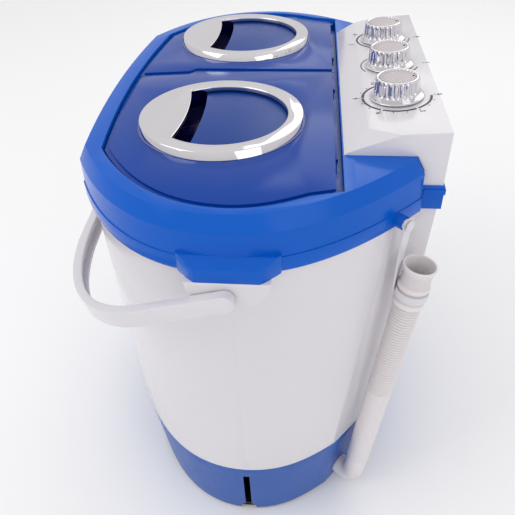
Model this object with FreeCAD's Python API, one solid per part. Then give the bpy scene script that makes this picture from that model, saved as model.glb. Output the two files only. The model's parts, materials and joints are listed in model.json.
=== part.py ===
import FreeCAD, Part
import math
import os

# Mini twin-tub washing machine: wash tub at +X, spin tub at -X, controls along the rear (+Y).
# Frame: origin on the floor under the middle of the cabinet, +Z up, millimetres.

V = FreeCAD.Vector
os.makedirs("parts", exist_ok=True)

# ---------------------------------------------------------------- driving sizes
# Plan outline of the top rim, measured at the lower edge of its bevel
RIM_HALF_LENGTH = 248.7
RIM_END_Y = -6.0            # where the round ends stand furthest out
RIM_CORNER_X = RIM_HALF_LENGTH - 105.7        # soft front corners
RIM_CORNER_Y = -149.0
RIM_FRONT_Y = -157.0        # middle of the bowed front
RIM_REAR_X = RIM_HALF_LENGTH - 91.7          # where the ends meet the control column
RIM_REAR_Y = 147.0

# Heights
RIM_TOP = 440.0
RIM_BEVEL_DROP = 13.3
RIM_BEVEL_INSET = 7.0
RIM_LEDGE_DROP = 36.3
RIM_DEPTH = 49.5
RIM_WALL = 3.2
LEDGE_STEP = 1.4
BODY_BOTTOM = 98.0          # where the white casing meets the coloured base
FOOT_HEIGHT = 4.0

# Lid recess in the rim
RECESS_HALF_LENGTH = RIM_HALF_LENGTH - 15.4
RECESS_CORNER_X = RIM_HALF_LENGTH - 102.7
RECESS_CORNER_Y = -126.0
RECESS_FRONT_Y = -135.5
RECESS_SHOULDER_X = RIM_HALF_LENGTH - 34.7
RECESS_SHOULDER_Y = 55.0
RECESS_REAR_X = RIM_HALF_LENGTH - 41.7
RECESS_REAR_Y = 79.5
RECESS_DEPTH = 11.5
DECK = 3.0                  # thickness of the moulded floors

# Lids
LID_GAP = 2.2
LID_THICK = 4.0
LID_STEP = 2.0
LID_STEP_INSET = 4.0
LID_SHELL = 1.8
LID_DROP = 1.0              # lid field below the rim top
SEAM_X_FRONT = -18.0
SEAM_X_JOG = -25.0
SEAM_X = -33.0
SEAM_JOG_Y = -80.0
SEAM_HALF_GAP = 0.7

# Chrome rings, dished inserts and finger pockets
RING_X_WASH = 87.0
RING_X_SPIN = -135.0
RING_Y = -29.5
RING_R = 78.0
RING_INNER_R = RING_R - 17.0
RING_HEIGHT = 7.0
RING_BEVEL = 3.0
RING_SHELL = 2.6
DISH_R = RING_INNER_R + 4.5
DISH_WALL = 2.2
DISH_DEPTH = 15.0
DOME_RISE = 4.0
POCKET_Y = -50.0            # rear edge of the finger pocket
GRIP_Y = -66.0              # inner edge of the chrome grip

# Lid hinges
HINGE_BACK = 7.5            # hinge line in front of the recess's rear wall
HINGE_DROP = 6.0            # hinge line below the rim top
HINGE_Y = RECESS_REAR_Y - HINGE_BACK
HINGE_Z = RIM_TOP - HINGE_DROP
LID_REAR_Y = RECESS_REAR_Y - 3.5
LID_SKIN = 1.4              # lid left over the hinge ears
LID_SWING_ROOM = 0.2        # lid corners stay inside the recess's rear corners
LID_SWING_REACH = 10.0
HINGE_PIN_R = 1.5
KNUCKLE_R = 2.8
KNUCKLE_LEN = 14.0
EAR_THICK = 4.0
EAR_R = 3.0
RUN_FIT = 0.06              # radial clearance of pins and shafts that turn
AIR = 0.5                   # gap between faces that move past each other

# Control panel
PANEL_HALF = RIM_REAR_X - 5.0
PANEL_FRONT_Y = RECESS_REAR_Y + 1.0
PANEL_EDGE_Y = 100.0
PANEL_REAR_Y = 165.0
PANEL_EDGE_RISE = 17.0      # sloping face above the rim top, front and rear
PANEL_REAR_RISE = 21.5
PANEL_SKIRT_DROP = 27.0
PANEL_EDGE_Z = RIM_TOP + PANEL_EDGE_RISE
PANEL_REAR_Z = RIM_TOP + PANEL_REAR_RISE
PANEL_SKIRT_Z = RIM_TOP - PANEL_SKIRT_DROP
PANEL_WALL = 2.5
BAND_PROUD = 1.4
BEAD_PROUD = 1.0

# Knobs and what they turn
KNOB_Y = 128.0
KNOB_PITCH = 76.0
KNOB_MID_X = 2.0
KNOB_R = 20.0
KNOB_SKIRT_R = KNOB_R + 4.0
KNOB_HEIGHT = 18.0
KNOB_FLOAT = 1.0
KNOB_DISC_R = KNOB_R - 4.2
KNOB_FLUTES = 24
SHAFT_R = 3.0
BUSH_R = 5.0
TIMER_SIZE = 40.0
TIMER_DEPTH = 26.0

# Casing
CASING_INSET = 3.6
CASING_WALL = 2.6
CASING_COLLAR = 10.0        # how far the casing reaches up inside the rim
COLLAR_STEP = 0.5           # collar set in from the casing wall
COLLAR_END_Y = 20.0
COLUMN_TOP_HALF = PANEL_HALF - 1.0
COLUMN_TOP_Y = 163.5
MID_HALF_LENGTH = RIM_HALF_LENGTH - 12.4
MID_CORNER_X = RIM_HALF_LENGTH - 112.7
MID_CORNER_Y = -138.5
MID_FRONT_Y = -146.5
MID_CREASE_X = RIM_HALF_LENGTH - 52.7
MID_CREASE_Y = 91.0
MID_COLUMN_HALF = PANEL_HALF - 6.0
MID_COLUMN_ROOT = PANEL_HALF - 20.0
MID_COLUMN_Y = 150.0
TOP_CREASE_X = RIM_HALF_LENGTH - 67.7
TOP_CREASE_Y = 124.0
TOP_COLUMN_ROOT = PANEL_HALF - 11.0
BASE_SCALE_X = 0.969
BASE_SCALE_Y = 0.93
BASE_WALL = 3.0
BASE_LIP = 6.0
PLATE = 4.0

# Wash tub (D-shaped)
TUB_X0 = -12.0
TUB_X1 = 214.0
TUB_XM = 120.0
TUB_Y0 = -114.0
TUB_Y1 = 62.0
TUB_CORNER = 20.0
TUB_WALL = 2.5
TUB_LIP = 1.5
TUB_FLANGE = 9.0
TUB_TAPER = 8.0
TUB_FLOOR_Z = 165.0
PULSATOR_X = 98.0
PULSATOR_Y = -26.0
PULSATOR_R = 62.0
PULSATOR_SHAFT_R = 6.0

# Spin tub and basket
SPIN_X = -134.0
SPIN_Y = -29.5
SPIN_TUB_R = 88.0
SPIN_OPENING_R = SPIN_TUB_R - 4.0
BASKET_R = SPIN_TUB_R - 10.0
BASKET_WALL = 2.0
BASKET_BOTTOM = 180.0
BASKET_TOP = RIM_TOP - 34.0
BALANCE_R = BASKET_R + 3.5
SPIN_SHAFT_R = 7.0

# Drives
WASH_MOTOR_X = 20.0
WASH_MOTOR_Y = 80.0
WASH_MOTOR_R = 46.0
PULLEY_R = 50.0
MOTOR_PULLEY_R = 14.0
PULLEY_Z = 110.0
PULLEY_H = 14.0
BELT_H = 8.0
BELT_T = 4.0
SPIN_MOTOR_R = 50.0

# Drain
VALVE_X = 152.0
VALVE_Y = 26.0
VALVE_R = 20.0
PORT_R = 9.0
PIPE_R = 9.0
PIPE_BORE = 7.0
ELBOW_R = 12.0
HOSE_R = 13.0
HOSE_BORE = 10.5

FAR = 400.0                 # reach of cutting blocks

# Carry handle (bail)
BAIL_PIVOT_Y = -8.0
BAIL_PIVOT_Z = RIM_TOP - 63.0
BAIL_HALF = RIM_HALF_LENGTH + 21.3
BAIL_DEPTH = 9.0
BAIL_HEIGHT = 16.0
BAIL_WEB = 2.6
BAIL_FRONT_R = 168.0        # pivot to outer face of the grip
BAIL_TILT = 15.0
BAIL_PIN_R = 4.0
BAIL_CLOSED = 2.2           # wall left outside the pin's end
BOSS_HALF_Y = 33.0
BOSS_HEIGHT = 27.0


# ---------------------------------------------------------------- helpers
def box(x0, x1, y0, y1, z0, z1):
    return Part.makeBox(x1 - x0, y1 - y0, z1 - z0, V(x0, y0, z0))


def cyl(r, z0, z1, x=0.0, y=0.0):
    return Part.makeCylinder(r, z1 - z0, V(x, y, z0))


def cyl_x(r, x0, x1, y, z):
    return Part.makeCylinder(r, x1 - x0, V(x0, y, z), V(1, 0, 0))


def tube(ro, ri, z0, z1, x=0.0, y=0.0):
    return cyl(ro, z0, z1, x, y).cut(cyl(ri, z0 - 1, z1 + 1, x, y))


def join(shapes):
    base = shapes[0]
    if len(shapes) > 1:
        base = base.fuse(shapes[1:])
    return base.removeSplitter()


def drop(shape, tools):
    return shape.cut(tools)


def polygon(points, z):
    corners = [V(x, y, z) for x, y in points]
    return Part.makePolygon(corners + [corners[0]])


def prism(wire, height):
    return Part.Face(wire).extrude(V(0, 0, height))


def prism_x(points_yz, x0, x1):
    corners = [V(x0, y, z) for y, z in points_yz]
    wire = Part.makePolygon(corners + [corners[0]])
    return Part.Face(wire).extrude(V(x1 - x0, 0, 0))


def loft(low, high):
    return Part.makeLoft([low, high], True, True)


def mirror_x(shape):
    return shape.mirror(V(0, 0, 0), V(1, 0, 0))


def revolve(profile_rz, x=0.0, y=0.0):
    corners = [V(x + r, y, z) for r, z in profile_rz]
    wire = Part.makePolygon(corners + [corners[0]])
    return Part.Face(wire).revolve(V(x, y, 0), V(0, 0, 1), 360)


def save(name, shape):
    solids = shape.Solids
    if not solids:
        raise ValueError(name + " has no solid")
    result = solids[0] if len(solids) == 1 else Part.makeCompound(solids)
    result.exportStep("parts/" + name + ".step")
    print(name, len(solids), round(sum(s.Volume for s in solids) / 1000.0, 1), "cm3")
    return result


# ---------------------------------------------------------------- plan outlines
def unit(dx, dy):
    length = math.hypot(dx, dy)
    return dx / length, dy / length


def left_normal(direction):
    """Outward normal of a counter-clockwise outline that runs in this direction."""
    return direction[1], -direction[0]


def mitre(point, n1, n2, inset):
    scale = 1.0 + n1[0] * n2[0] + n1[1] * n2[1]
    return point[0] - inset * (n1[0] + n2[0]) / scale, point[1] - inset * (n1[1] + n2[1]) / scale


class Outline:
    """Bowed front, round ends and a straight rear; the +X half is given and mirrored."""

    def __init__(self, half, end_y, corner, front_y, shoulder, tail, leave, arrive, handles):
        self.half = half
        self.end_y = end_y
        self.corner = corner
        self.front_y = front_y
        self.shoulder = shoulder
        self.tail = tail            # straight corners after the shoulder
        self.leave = unit(*leave)   # direction of the end curve at the front corner
        self.arrive = unit(*arrive)  # direction of the end curve at the shoulder
        self.handles = handles      # curve strengths: corner, end front, end rear, shoulder

    def inset(self, gap):
        chain = [self.shoulder] + self.tail
        normals = [left_normal(self.arrive)]
        for here, there in zip(chain, chain[1:]):
            normals.append(left_normal(unit(there[0] - here[0], there[1] - here[1])))
        normals.append((0.0, 1.0))
        moved = [mitre(p, n1, n2, gap) for p, n1, n2 in zip(chain, normals, normals[1:])]
        corner = mitre(self.corner, (0.0, -1.0), left_normal(self.leave), gap)
        shrink = 1.0 - gap / 130.0
        handles = [h * shrink for h in self.handles]
        return Outline(self.half - gap, self.end_y, corner, self.front_y + gap, moved[0],
                       moved[1:], self.leave, self.arrive, handles)

    def half_edges(self, sign, z):
        """Edges from the front corner to the last rear corner on one side."""
        def at(x, y):
            return V(sign * x, y, z)
        (cx, cy), (sx, sy) = self.corner, self.shoulder
        h = self.handles
        front = [at(cx, cy), at(cx + h[0] * self.leave[0], cy + h[0] * self.leave[1]),
                 at(self.half, self.end_y - h[1]), at(self.half, self.end_y)]
        rear = [at(self.half, self.end_y), at(self.half, self.end_y + h[2]),
                at(sx - h[3] * self.arrive[0], sy - h[3] * self.arrive[1]), at(sx, sy)]
        edges = []
        for poles in (front, rear):
            curve = Part.BezierCurve()
            curve.setPoles(poles)
            edges.append(curve.toShape())
        chain = [self.shoulder] + self.tail
        for here, there in zip(chain, chain[1:]):
            edges.append(Part.makeLine(at(*here), at(*there)))
        return edges

    def wire(self, z):
        cx, cy = self.corner
        front = Part.Arc(V(-cx, cy, z), V(0, self.front_y, z), V(cx, cy, z)).toShape()
        last = (self.tail or [self.shoulder])[-1]
        rear = Part.makeLine(V(last[0], last[1], z), V(-last[0], last[1], z))
        right = self.half_edges(1, z)
        left = self.half_edges(-1, z)
        return Part.Wire([front] + right + [rear] + left[::-1])

    def prism(self, z0, z1):
        return prism(self.wire(z0), z1 - z0)


def blend(first, second, share):
    """Outline between two others, for straight tapered walls."""
    def mix(a, b):
        return a + (b - a) * share

    def mix2(p, q):
        return mix(p[0], q[0]), mix(p[1], q[1])
    return Outline(mix(first.half, second.half), mix(first.end_y, second.end_y),
                   mix2(first.corner, second.corner), mix(first.front_y, second.front_y),
                   mix2(first.shoulder, second.shoulder),
                   [mix2(p, q) for p, q in zip(first.tail, second.tail)],
                   mix2(first.leave, second.leave), mix2(first.arrive, second.arrive),
                   [mix(a, b) for a, b in zip(first.handles, second.handles)])


RIM = Outline(RIM_HALF_LENGTH, RIM_END_Y, (RIM_CORNER_X, RIM_CORNER_Y), RIM_FRONT_Y,
              (RIM_REAR_X, RIM_REAR_Y), [], (0.89, 0.46), (-0.71, 0.71), [50.0, 80.0, 70.0, 35.0])
RECESS = Outline(RECESS_HALF_LENGTH, RIM_END_Y, (RECESS_CORNER_X, RECESS_CORNER_Y), RECESS_FRONT_Y,
                 (RECESS_SHOULDER_X, RECESS_SHOULDER_Y), [(RECESS_REAR_X, RECESS_REAR_Y)],
                 (0.86, 0.5), (-0.46, 0.89), [40.0, 62.0, 26.0, 18.0])
TOP_BODY = Outline(RIM_HALF_LENGTH - CASING_INSET, RIM_END_Y,
                   (RIM_CORNER_X - 1.0, RIM_CORNER_Y + CASING_INSET), RIM_FRONT_Y + CASING_INSET,
                   (TOP_CREASE_X, TOP_CREASE_Y),
                   [(COLUMN_TOP_HALF, TOP_COLUMN_ROOT), (COLUMN_TOP_HALF, COLUMN_TOP_Y)],
                   (0.89, 0.46), (-0.66, 0.75), [49.0, 78.0, 66.0, 26.0])
MID_BODY = Outline(MID_HALF_LENGTH, RIM_END_Y, (MID_CORNER_X, MID_CORNER_Y), MID_FRONT_Y,
                   (MID_CREASE_X, MID_CREASE_Y),
                   [(MID_COLUMN_HALF, MID_COLUMN_ROOT), (MID_COLUMN_HALF, MID_COLUMN_Y)],
                   (0.89, 0.46), (-0.58, 0.81), [48.0, 74.0, 48.0, 24.0])


def scaled(outline):
    def move(p):
        return p[0] * BASE_SCALE_X, RIM_END_Y + (p[1] - RIM_END_Y) * BASE_SCALE_Y
    return Outline(outline.half * BASE_SCALE_X, outline.end_y, move(outline.corner),
                   RIM_END_Y + (outline.front_y - RIM_END_Y) * BASE_SCALE_Y, move(outline.shoulder),
                   [move(p) for p in outline.tail], outline.leave, outline.arrive,
                   [h * BASE_SCALE_Y for h in outline.handles])


LOW_BODY = scaled(MID_BODY)
RIM_BOTTOM = RIM_TOP - RIM_DEPTH
LEDGE_Z = RIM_TOP - RIM_LEDGE_DROP
BEVEL_Z = RIM_TOP - RIM_BEVEL_DROP
RECESS_Z = RIM_TOP - RECESS_DEPTH
UNDER_Z = RECESS_Z - DECK
LID_TOP = RIM_TOP - LID_DROP
LID_BOTTOM = LID_TOP - LID_THICK - LID_STEP


def d_wire(z, grow=0.0, taper=0.0):
    """D-shaped tub outline: straight inner side, round outer end."""
    x0 = TUB_X0 - grow
    x1 = TUB_X1 + grow - taper
    y0 = TUB_Y0 - grow + taper
    y1 = TUB_Y1 + grow - taper
    r = TUB_CORNER + grow
    ym = 0.5 * (y0 + y1)
    kx = 0.62 * (x1 - TUB_XM)
    ky = 0.62 * (y1 - ym)
    s = r * (1 - math.sqrt(0.5))
    ends = [[(TUB_XM, y0), (TUB_XM + kx, y0), (x1, ym - ky), (x1, ym)],
            [(x1, ym), (x1, ym + ky), (TUB_XM + kx, y1), (TUB_XM, y1)]]
    edges = []
    for poles in ends:
        curve = Part.BezierCurve()
        curve.setPoles([V(x, y, z) for x, y in poles])
        edges.append(curve.toShape())
    edges.append(Part.makeLine(V(TUB_XM, y1, z), V(x0 + r, y1, z)))
    edges.append(Part.Arc(V(x0 + r, y1, z), V(x0 + s, y1 - s, z), V(x0, y1 - r, z)).toShape())
    edges.append(Part.makeLine(V(x0, y1 - r, z), V(x0, y0 + r, z)))
    edges.append(Part.Arc(V(x0, y0 + r, z), V(x0 + s, y0 + s, z), V(x0 + r, y0, z)).toShape())
    edges.append(Part.makeLine(V(x0 + r, y0, z), V(TUB_XM, y0, z)))
    return Part.Wire(edges)


def pipe_route(points, radii):
    """Straight runs joined by tangent arcs."""
    edges = []
    start = V(*points[0])
    for before, corner, after, radius in zip(points, points[1:], points[2:], radii):
        p, c, n = V(*before), V(*corner), V(*after)
        a = (p - c).normalize()
        b = (n - c).normalize()
        half = 0.5 * math.acos(max(-1.0, min(1.0, a.dot(b))))
        reach = radius / math.tan(half)
        t1 = c + a * reach
        t2 = c + b * reach
        middle = (a + b).normalize()
        centre = c + middle * (radius / math.sin(half))
        edges.append(Part.makeLine(start, t1))
        edges.append(Part.Arc(t1, centre - middle * radius, t2).toShape())
        start = t2
    edges.append(Part.makeLine(start, V(*points[-1])))
    return Part.Wire(edges)


def sweep(wire, radius):
    first = wire.Edges[0]
    start = first.valueAt(first.FirstParameter)
    direction = first.tangentAt(first.FirstParameter)
    ring = Part.Wire([Part.makeCircle(radius, start, direction)])
    return wire.makePipeShell([ring], True, False)


def hollow_sweep(wire, radius, bore):
    return sweep(wire, radius).cut(sweep(wire, bore))


# ---------------------------------------------------------------- top frame
def hinge_stations(side):
    return (24.0, 166.0) if side == "wash" else (-64.0, -182.0)


def hinge_ears():
    ears = []
    for side in ("wash", "spin"):
        for x in hinge_stations(side):
            for sign in (-1, 1):
                inner = 0.5 * KNUCKLE_LEN + AIR
                x0 = x + sign * inner
                x1 = x + sign * (inner + EAR_THICK)
                lo, hi = min(x0, x1), max(x0, x1)
                block = box(lo, hi, HINGE_Y - EAR_R, HINGE_Y + EAR_R, RECESS_Z - 0.5, HINGE_Z)
                ears.append(block.fuse(cyl_x(EAR_R, lo, hi, HINGE_Y, HINGE_Z)))
    return ears


def hinge_bores():
    reach = 0.5 * KNUCKLE_LEN + AIR + EAR_THICK + 1
    return [cyl_x(HINGE_PIN_R, x - reach, x + reach, HINGE_Y, HINGE_Z)
            for side in ("wash", "spin") for x in hinge_stations(side)]


LIP_OUT = RIM_HALF_LENGTH + 11.3
LIP_HALF_ROOT = 41.0
LIP_HALF_TIP = 29.0
LIP_ROUND = 3.5
LIP_RAISE = 4.0             # top of the lip above the ledge, where it leaves the wall
LIP_FALL = 1.0              # and below it at the tip


def lip():
    """Pouring-style lip over the handle pivot."""
    root = RIM_HALF_LENGTH - 12.0
    plan = [(root, RIM_END_Y - LIP_HALF_ROOT), (LIP_OUT - 14.0, RIM_END_Y - LIP_HALF_ROOT + 1.0),
            (LIP_OUT - 3.0, RIM_END_Y - LIP_HALF_TIP), (LIP_OUT, RIM_END_Y - LIP_HALF_TIP + 4.0),
            (LIP_OUT, RIM_END_Y + LIP_HALF_TIP - 4.0), (LIP_OUT - 3.0, RIM_END_Y + LIP_HALF_TIP),
            (LIP_OUT - 14.0, RIM_END_Y + LIP_HALF_ROOT - 1.0), (root, RIM_END_Y + LIP_HALF_ROOT)]
    block = prism(polygon(plan, RIM_BOTTOM), RIM_RISE + LIP_RAISE)
    upright = [e for e in block.Edges if abs(e.tangentAt(e.FirstParameter).z) > 0.9
               and e.BoundBox.XMin > RIM_HALF_LENGTH - 4.0]
    block = block.makeFillet(LIP_ROUND, upright)
    wall = RIM_HALF_LENGTH
    above = LEDGE_Z + 3 * LIP_RAISE
    corners = [V(wall, -FAR, LEDGE_Z + LIP_RAISE), V(LIP_OUT + 1.0, -FAR, LEDGE_Z - LIP_FALL),
               V(LIP_OUT + 1.0, -FAR, above), V(wall, -FAR, above)]
    slope = Part.Face(Part.makePolygon(corners + [corners[0]])).extrude(V(0, 2 * FAR, 0))
    block = block.cut(slope)
    return block


RIM_RISE = LEDGE_Z - RIM_BOTTOM
CLIP_X = 183.0
CLIP_Y = 129.5
CLIP_DIR = unit(0.72, 0.69)


def clip_cyl(r, reach0, reach1, z):
    start = V(CLIP_X + CLIP_DIR[0] * reach0, CLIP_Y + CLIP_DIR[1] * reach0, z)
    return Part.makeCylinder(r, reach1 - reach0, start, V(CLIP_DIR[0], CLIP_DIR[1], 0))


PEG_R = 3.4
CLIP_R = 6.0
CLIP_Z = RIM_BOTTOM + CLIP_R + 0.3


def top_frame():
    bevel = loft(RIM.wire(BEVEL_Z), RIM.inset(RIM_BEVEL_INSET).wire(RIM_TOP))
    upper = loft(RIM.inset(-0.4).wire(LEDGE_Z), RIM.wire(BEVEL_Z))
    lower = RIM.inset(-LEDGE_STEP).prism(RIM_BOTTOM, LEDGE_Z)
    one_lip = lip()
    solid = join([bevel, upper, lower, one_lip, mirror_x(one_lip)])
    band_y = PANEL_REAR_Y + BAND_PROUD
    band_x = PANEL_HALF + BAND_PROUD
    band = box(-band_x, band_x, RIM_REAR_Y - RIM_WALL, band_y, RIM_BOTTOM, PANEL_SKIRT_Z)
    bead_x = band_x + BEAD_PROUD
    bead = box(-bead_x, bead_x, RIM_REAR_Y + 2.0, band_y + BEAD_PROUD, LEDGE_Z + 1.5, LEDGE_Z + 6.5)
    solid = join([solid, band, bead])
    inner = RIM.inset(RIM_WALL).prism(RIM_BOTTOM - 5.0, UNDER_Z)
    under_rim = RIM.inset(RIM_BEVEL_INSET + DECK).prism(UNDER_Z - 0.5, RIM_TOP - DECK)
    under_rim = under_rim.cut(RECESS.inset(-DECK).prism(UNDER_Z - 1.0, RIM_TOP))
    recess = RECESS.prism(RECESS_Z, RIM_TOP + 1.0)
    wash_hole = prism(d_wire(UNDER_Z - 1.0), DECK + 2.0)
    spin_hole = cyl(SPIN_OPENING_R, UNDER_Z - 1.0, RECESS_Z + 1.0, SPIN_X, SPIN_Y)
    column = box(-PANEL_HALF + PANEL_WALL, PANEL_HALF - PANEL_WALL, RIM_REAR_Y, PANEL_REAR_Y - PANEL_WALL,
                 RIM_BOTTOM - 1.0, PANEL_SKIRT_Z + 1.0)
    timer_hole = box(-PANEL_HALF + 14.0, PANEL_HALF - 14.0, RECESS_REAR_Y + 2 * DECK + 5.0,
                     RIM_REAR_Y + 1.0, PANEL_SKIRT_Z, RIM_TOP + 1.0)
    solid = drop(solid, [inner, under_rim, recess, wash_hole, spin_hole, column, timer_hole])
    solid = join([solid] + hinge_ears() + [clip_cyl(CLIP_R, -8.0, 4.0, CLIP_Z)])
    solid = drop(solid, hinge_bores() + [clip_cyl(PEG_R, -1.0, 6.0, CLIP_Z)])
    return save("top_frame", solid)


def hinge_pins():
    pins = []
    for side in ("wash", "spin"):
        for x in hinge_stations(side):
            reach = 0.5 * KNUCKLE_LEN + AIR + EAR_THICK
            pins.append(cyl_x(HINGE_PIN_R, x - reach, x + reach, HINGE_Y, HINGE_Z))
    return save("lid_hinge_pins", Part.makeCompound(pins))


# ---------------------------------------------------------------- lids
def seam_region(side, z0, z1):
    sign = 1 if side == "wash" else -1
    gap = sign * SEAM_HALF_GAP
    jog = SEAM_JOG_Y
    line = [(SEAM_X_FRONT + gap, -FAR), (SEAM_X_FRONT + gap, RECESS_FRONT_Y),
            (SEAM_X_JOG + gap, jog), (SEAM_X + gap, jog + 6.0), (SEAM_X + gap, FAR)]
    plan = line + [(sign * FAR, FAR), (sign * FAR, -FAR)]
    return prism(polygon(plan, z0), z1 - z0)


def lid(side):
    ring_x = RING_X_WASH if side == "wash" else RING_X_SPIN
    plan = RECESS.inset(LID_GAP)
    region = seam_region(side, LID_BOTTOM - 1.0, LID_TOP + 1.0)
    border_top = LID_TOP - LID_STEP
    border = plan.prism(LID_BOTTOM, border_top).common(region)
    field_region = region.copy()
    field_region.translate(V((1 if side == "wash" else -1) * LID_STEP_INSET, 0, 0))
    field = plan.inset(LID_STEP_INSET).prism(border_top, LID_TOP).common(field_region)
    hollow = plan.inset(LID_SHELL + 0.6).prism(LID_BOTTOM - 1.0, border_top - LID_SHELL)
    hollow_region = region.copy()
    hollow_region.translate(V((1 if side == "wash" else -1) * (LID_SHELL + 0.6), 0, 0))
    hollow = hollow.common(hollow_region)
    keep_rear = box(-FAR, FAR, HINGE_Y - KNUCKLE_R - 4.0, FAR, 0.0, RIM_TOP)
    collar = tube(DISH_R + 3.0, DISH_R - 1.0, LID_BOTTOM, border_top, ring_x, RING_Y)
    solid = join([border.cut(hollow.cut(keep_rear)), field, collar])
    cuts = [cyl(DISH_R, LID_BOTTOM - 2.0, LID_TOP + 2.0, ring_x, RING_Y),
            box(-FAR, FAR, LID_REAR_Y, FAR, 0.0, LID_TOP + 2.0)]
    swing_edge = RECESS_REAR_X + LID_SWING_ROOM
    swing_cut = box(swing_edge, FAR, HINGE_Y - LID_SWING_REACH, FAR, 0.0, LID_TOP + 2.0)
    cuts.extend([swing_cut, mirror_x(swing_cut)])
    knuckles = []
    for x in hinge_stations(side):
        half = 0.5 * KNUCKLE_LEN
        slot = half + 2 * AIR + EAR_THICK
        cuts.append(box(x - slot, x + slot, HINGE_Y - EAR_R - 2.0, FAR, LID_BOTTOM - 2.0, LID_TOP - LID_SKIN))
        knuckles.append(cyl_x(KNUCKLE_R, x - half, x + half, HINGE_Y, HINGE_Z))
        knuckles.append(box(x - half, x + half, HINGE_Y - 1.5, HINGE_Y + 1.5, HINGE_Z, LID_TOP - 0.5 * LID_SKIN))
    solid = join([drop(solid, cuts)] + knuckles)
    bores = [cyl_x(HINGE_PIN_R + RUN_FIT, x - KNUCKLE_LEN, x + KNUCKLE_LEN, HINGE_Y, HINGE_Z)
             for x in hinge_stations(side)]
    return save(side + "_lid", drop(solid, bores))


def lid_ring(side):
    """Chrome ring with a crescent grip along its front."""
    x = RING_X_WASH if side == "wash" else RING_X_SPIN
    top = LID_TOP + RING_HEIGHT
    outer = [(RING_R, LID_TOP), (RING_R - RING_BEVEL, top), (RING_INNER_R + 1.0, top),
             (RING_INNER_R, top - 1.0), (RING_INNER_R, LID_TOP + 2.0), (RING_INNER_R + RING_SHELL, LID_TOP + 2.0),
             (RING_INNER_R + RING_SHELL, top - RING_SHELL), (RING_R - RING_BEVEL - RING_SHELL, top - RING_SHELL),
             (RING_R - RING_SHELL, LID_TOP)]
    ring = revolve(outer, x, RING_Y)
    disc = cyl(RING_INNER_R + 2.0, top - RING_SHELL - 0.6, top, x, RING_Y)
    sag = 5.0
    edge = Part.Arc(V(x - RING_R, GRIP_Y - 1.5 * sag, 0), V(x, GRIP_Y + sag, 0), V(x + RING_R, GRIP_Y - 1.5 * sag, 0))
    rim = [edge.toShape(),
           Part.makeLine(V(x + RING_R, GRIP_Y - 1.5 * sag, 0), V(x + RING_R, -FAR, 0)),
           Part.makeLine(V(x + RING_R, -FAR, 0), V(x - RING_R, -FAR, 0)),
           Part.makeLine(V(x - RING_R, -FAR, 0), V(x - RING_R, GRIP_Y - 1.5 * sag, 0))]
    front = Part.Face(Part.Wire(rim)).extrude(V(0, 0, top + 5.0))
    return save(side + "_lid_ring", join([ring, disc.common(front)]))


def lid_dish(side):
    """Domed insert with a finger pocket under the grip."""
    x = RING_X_WASH if side == "wash" else RING_X_SPIN
    r_in = DISH_R - DISH_WALL
    edge_z = LID_TOP + 2.0
    floor_z = LID_TOP - DISH_DEPTH
    sphere_r = (r_in * r_in + DOME_RISE * DOME_RISE) / (2 * DOME_RISE)
    centre_z = edge_z - 2.0 + DOME_RISE - sphere_r
    outer_ball = Part.makeSphere(sphere_r, V(x, RING_Y, centre_z))
    inner_ball = Part.makeSphere(sphere_r - DISH_WALL, V(x, RING_Y, centre_z))
    wall = tube(DISH_R, r_in, floor_z, edge_z, x, RING_Y)
    dome = cyl(r_in + 0.2, floor_z, edge_z + DOME_RISE, x, RING_Y).common(outer_ball).cut([inner_ball])
    sag = 6.0

    def front_of(y):
        arc = Part.Arc(V(x - RING_R, y - sag, 0), V(x, y + 0.5 * sag, 0), V(x + RING_R, y - sag, 0))
        rim = [arc.toShape(),
               Part.makeLine(V(x + RING_R, y - sag, 0), V(x + RING_R, -FAR, 0)),
               Part.makeLine(V(x + RING_R, -FAR, 0), V(x - RING_R, -FAR, 0)),
               Part.makeLine(V(x - RING_R, -FAR, 0), V(x - RING_R, y - sag, 0))]
        return Part.Face(Part.Wire(rim)).extrude(V(0, 0, RIM_TOP + 60.0))

    pocket = front_of(POCKET_Y)
    lip_zone = front_of(POCKET_Y + DISH_WALL).cut(pocket)
    floor = cyl(r_in + 0.2, floor_z, floor_z + DISH_WALL, x, RING_Y).common(front_of(POCKET_Y + DISH_WALL))
    inside = cyl(r_in + 0.2, floor_z, edge_z + DOME_RISE, x, RING_Y).common(outer_ball)
    back_wall = inside.common(lip_zone)
    solid = join([wall, dome.cut(pocket), floor, back_wall])
    return save(side + "_lid_dish", solid)


# ---------------------------------------------------------------- control panel
PANEL_SLOPE = math.atan2(PANEL_REAR_Z - PANEL_EDGE_Z, PANEL_REAR_Y - PANEL_EDGE_Y)
KNOBS = [("wash_timer", KNOB_MID_X + KNOB_PITCH), ("selector", KNOB_MID_X), ("spin_timer", KNOB_MID_X - KNOB_PITCH)]


def panel_z(y):
    return PANEL_EDGE_Z + (y - PANEL_EDGE_Y) * math.tan(PANEL_SLOPE)


def panel_under(y):
    """Height of the inner face under the sloping top."""
    return panel_z(y) - PANEL_WALL / math.cos(PANEL_SLOPE)


def on_panel(shape, x):
    """Turns a shape made about the Z axis square to the sloping panel face."""
    moved = shape.copy()
    moved.rotate(V(0, 0, 0), V(1, 0, 0), math.degrees(PANEL_SLOPE))
    moved.translate(V(x, KNOB_Y, panel_z(KNOB_Y)))
    return moved


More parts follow.
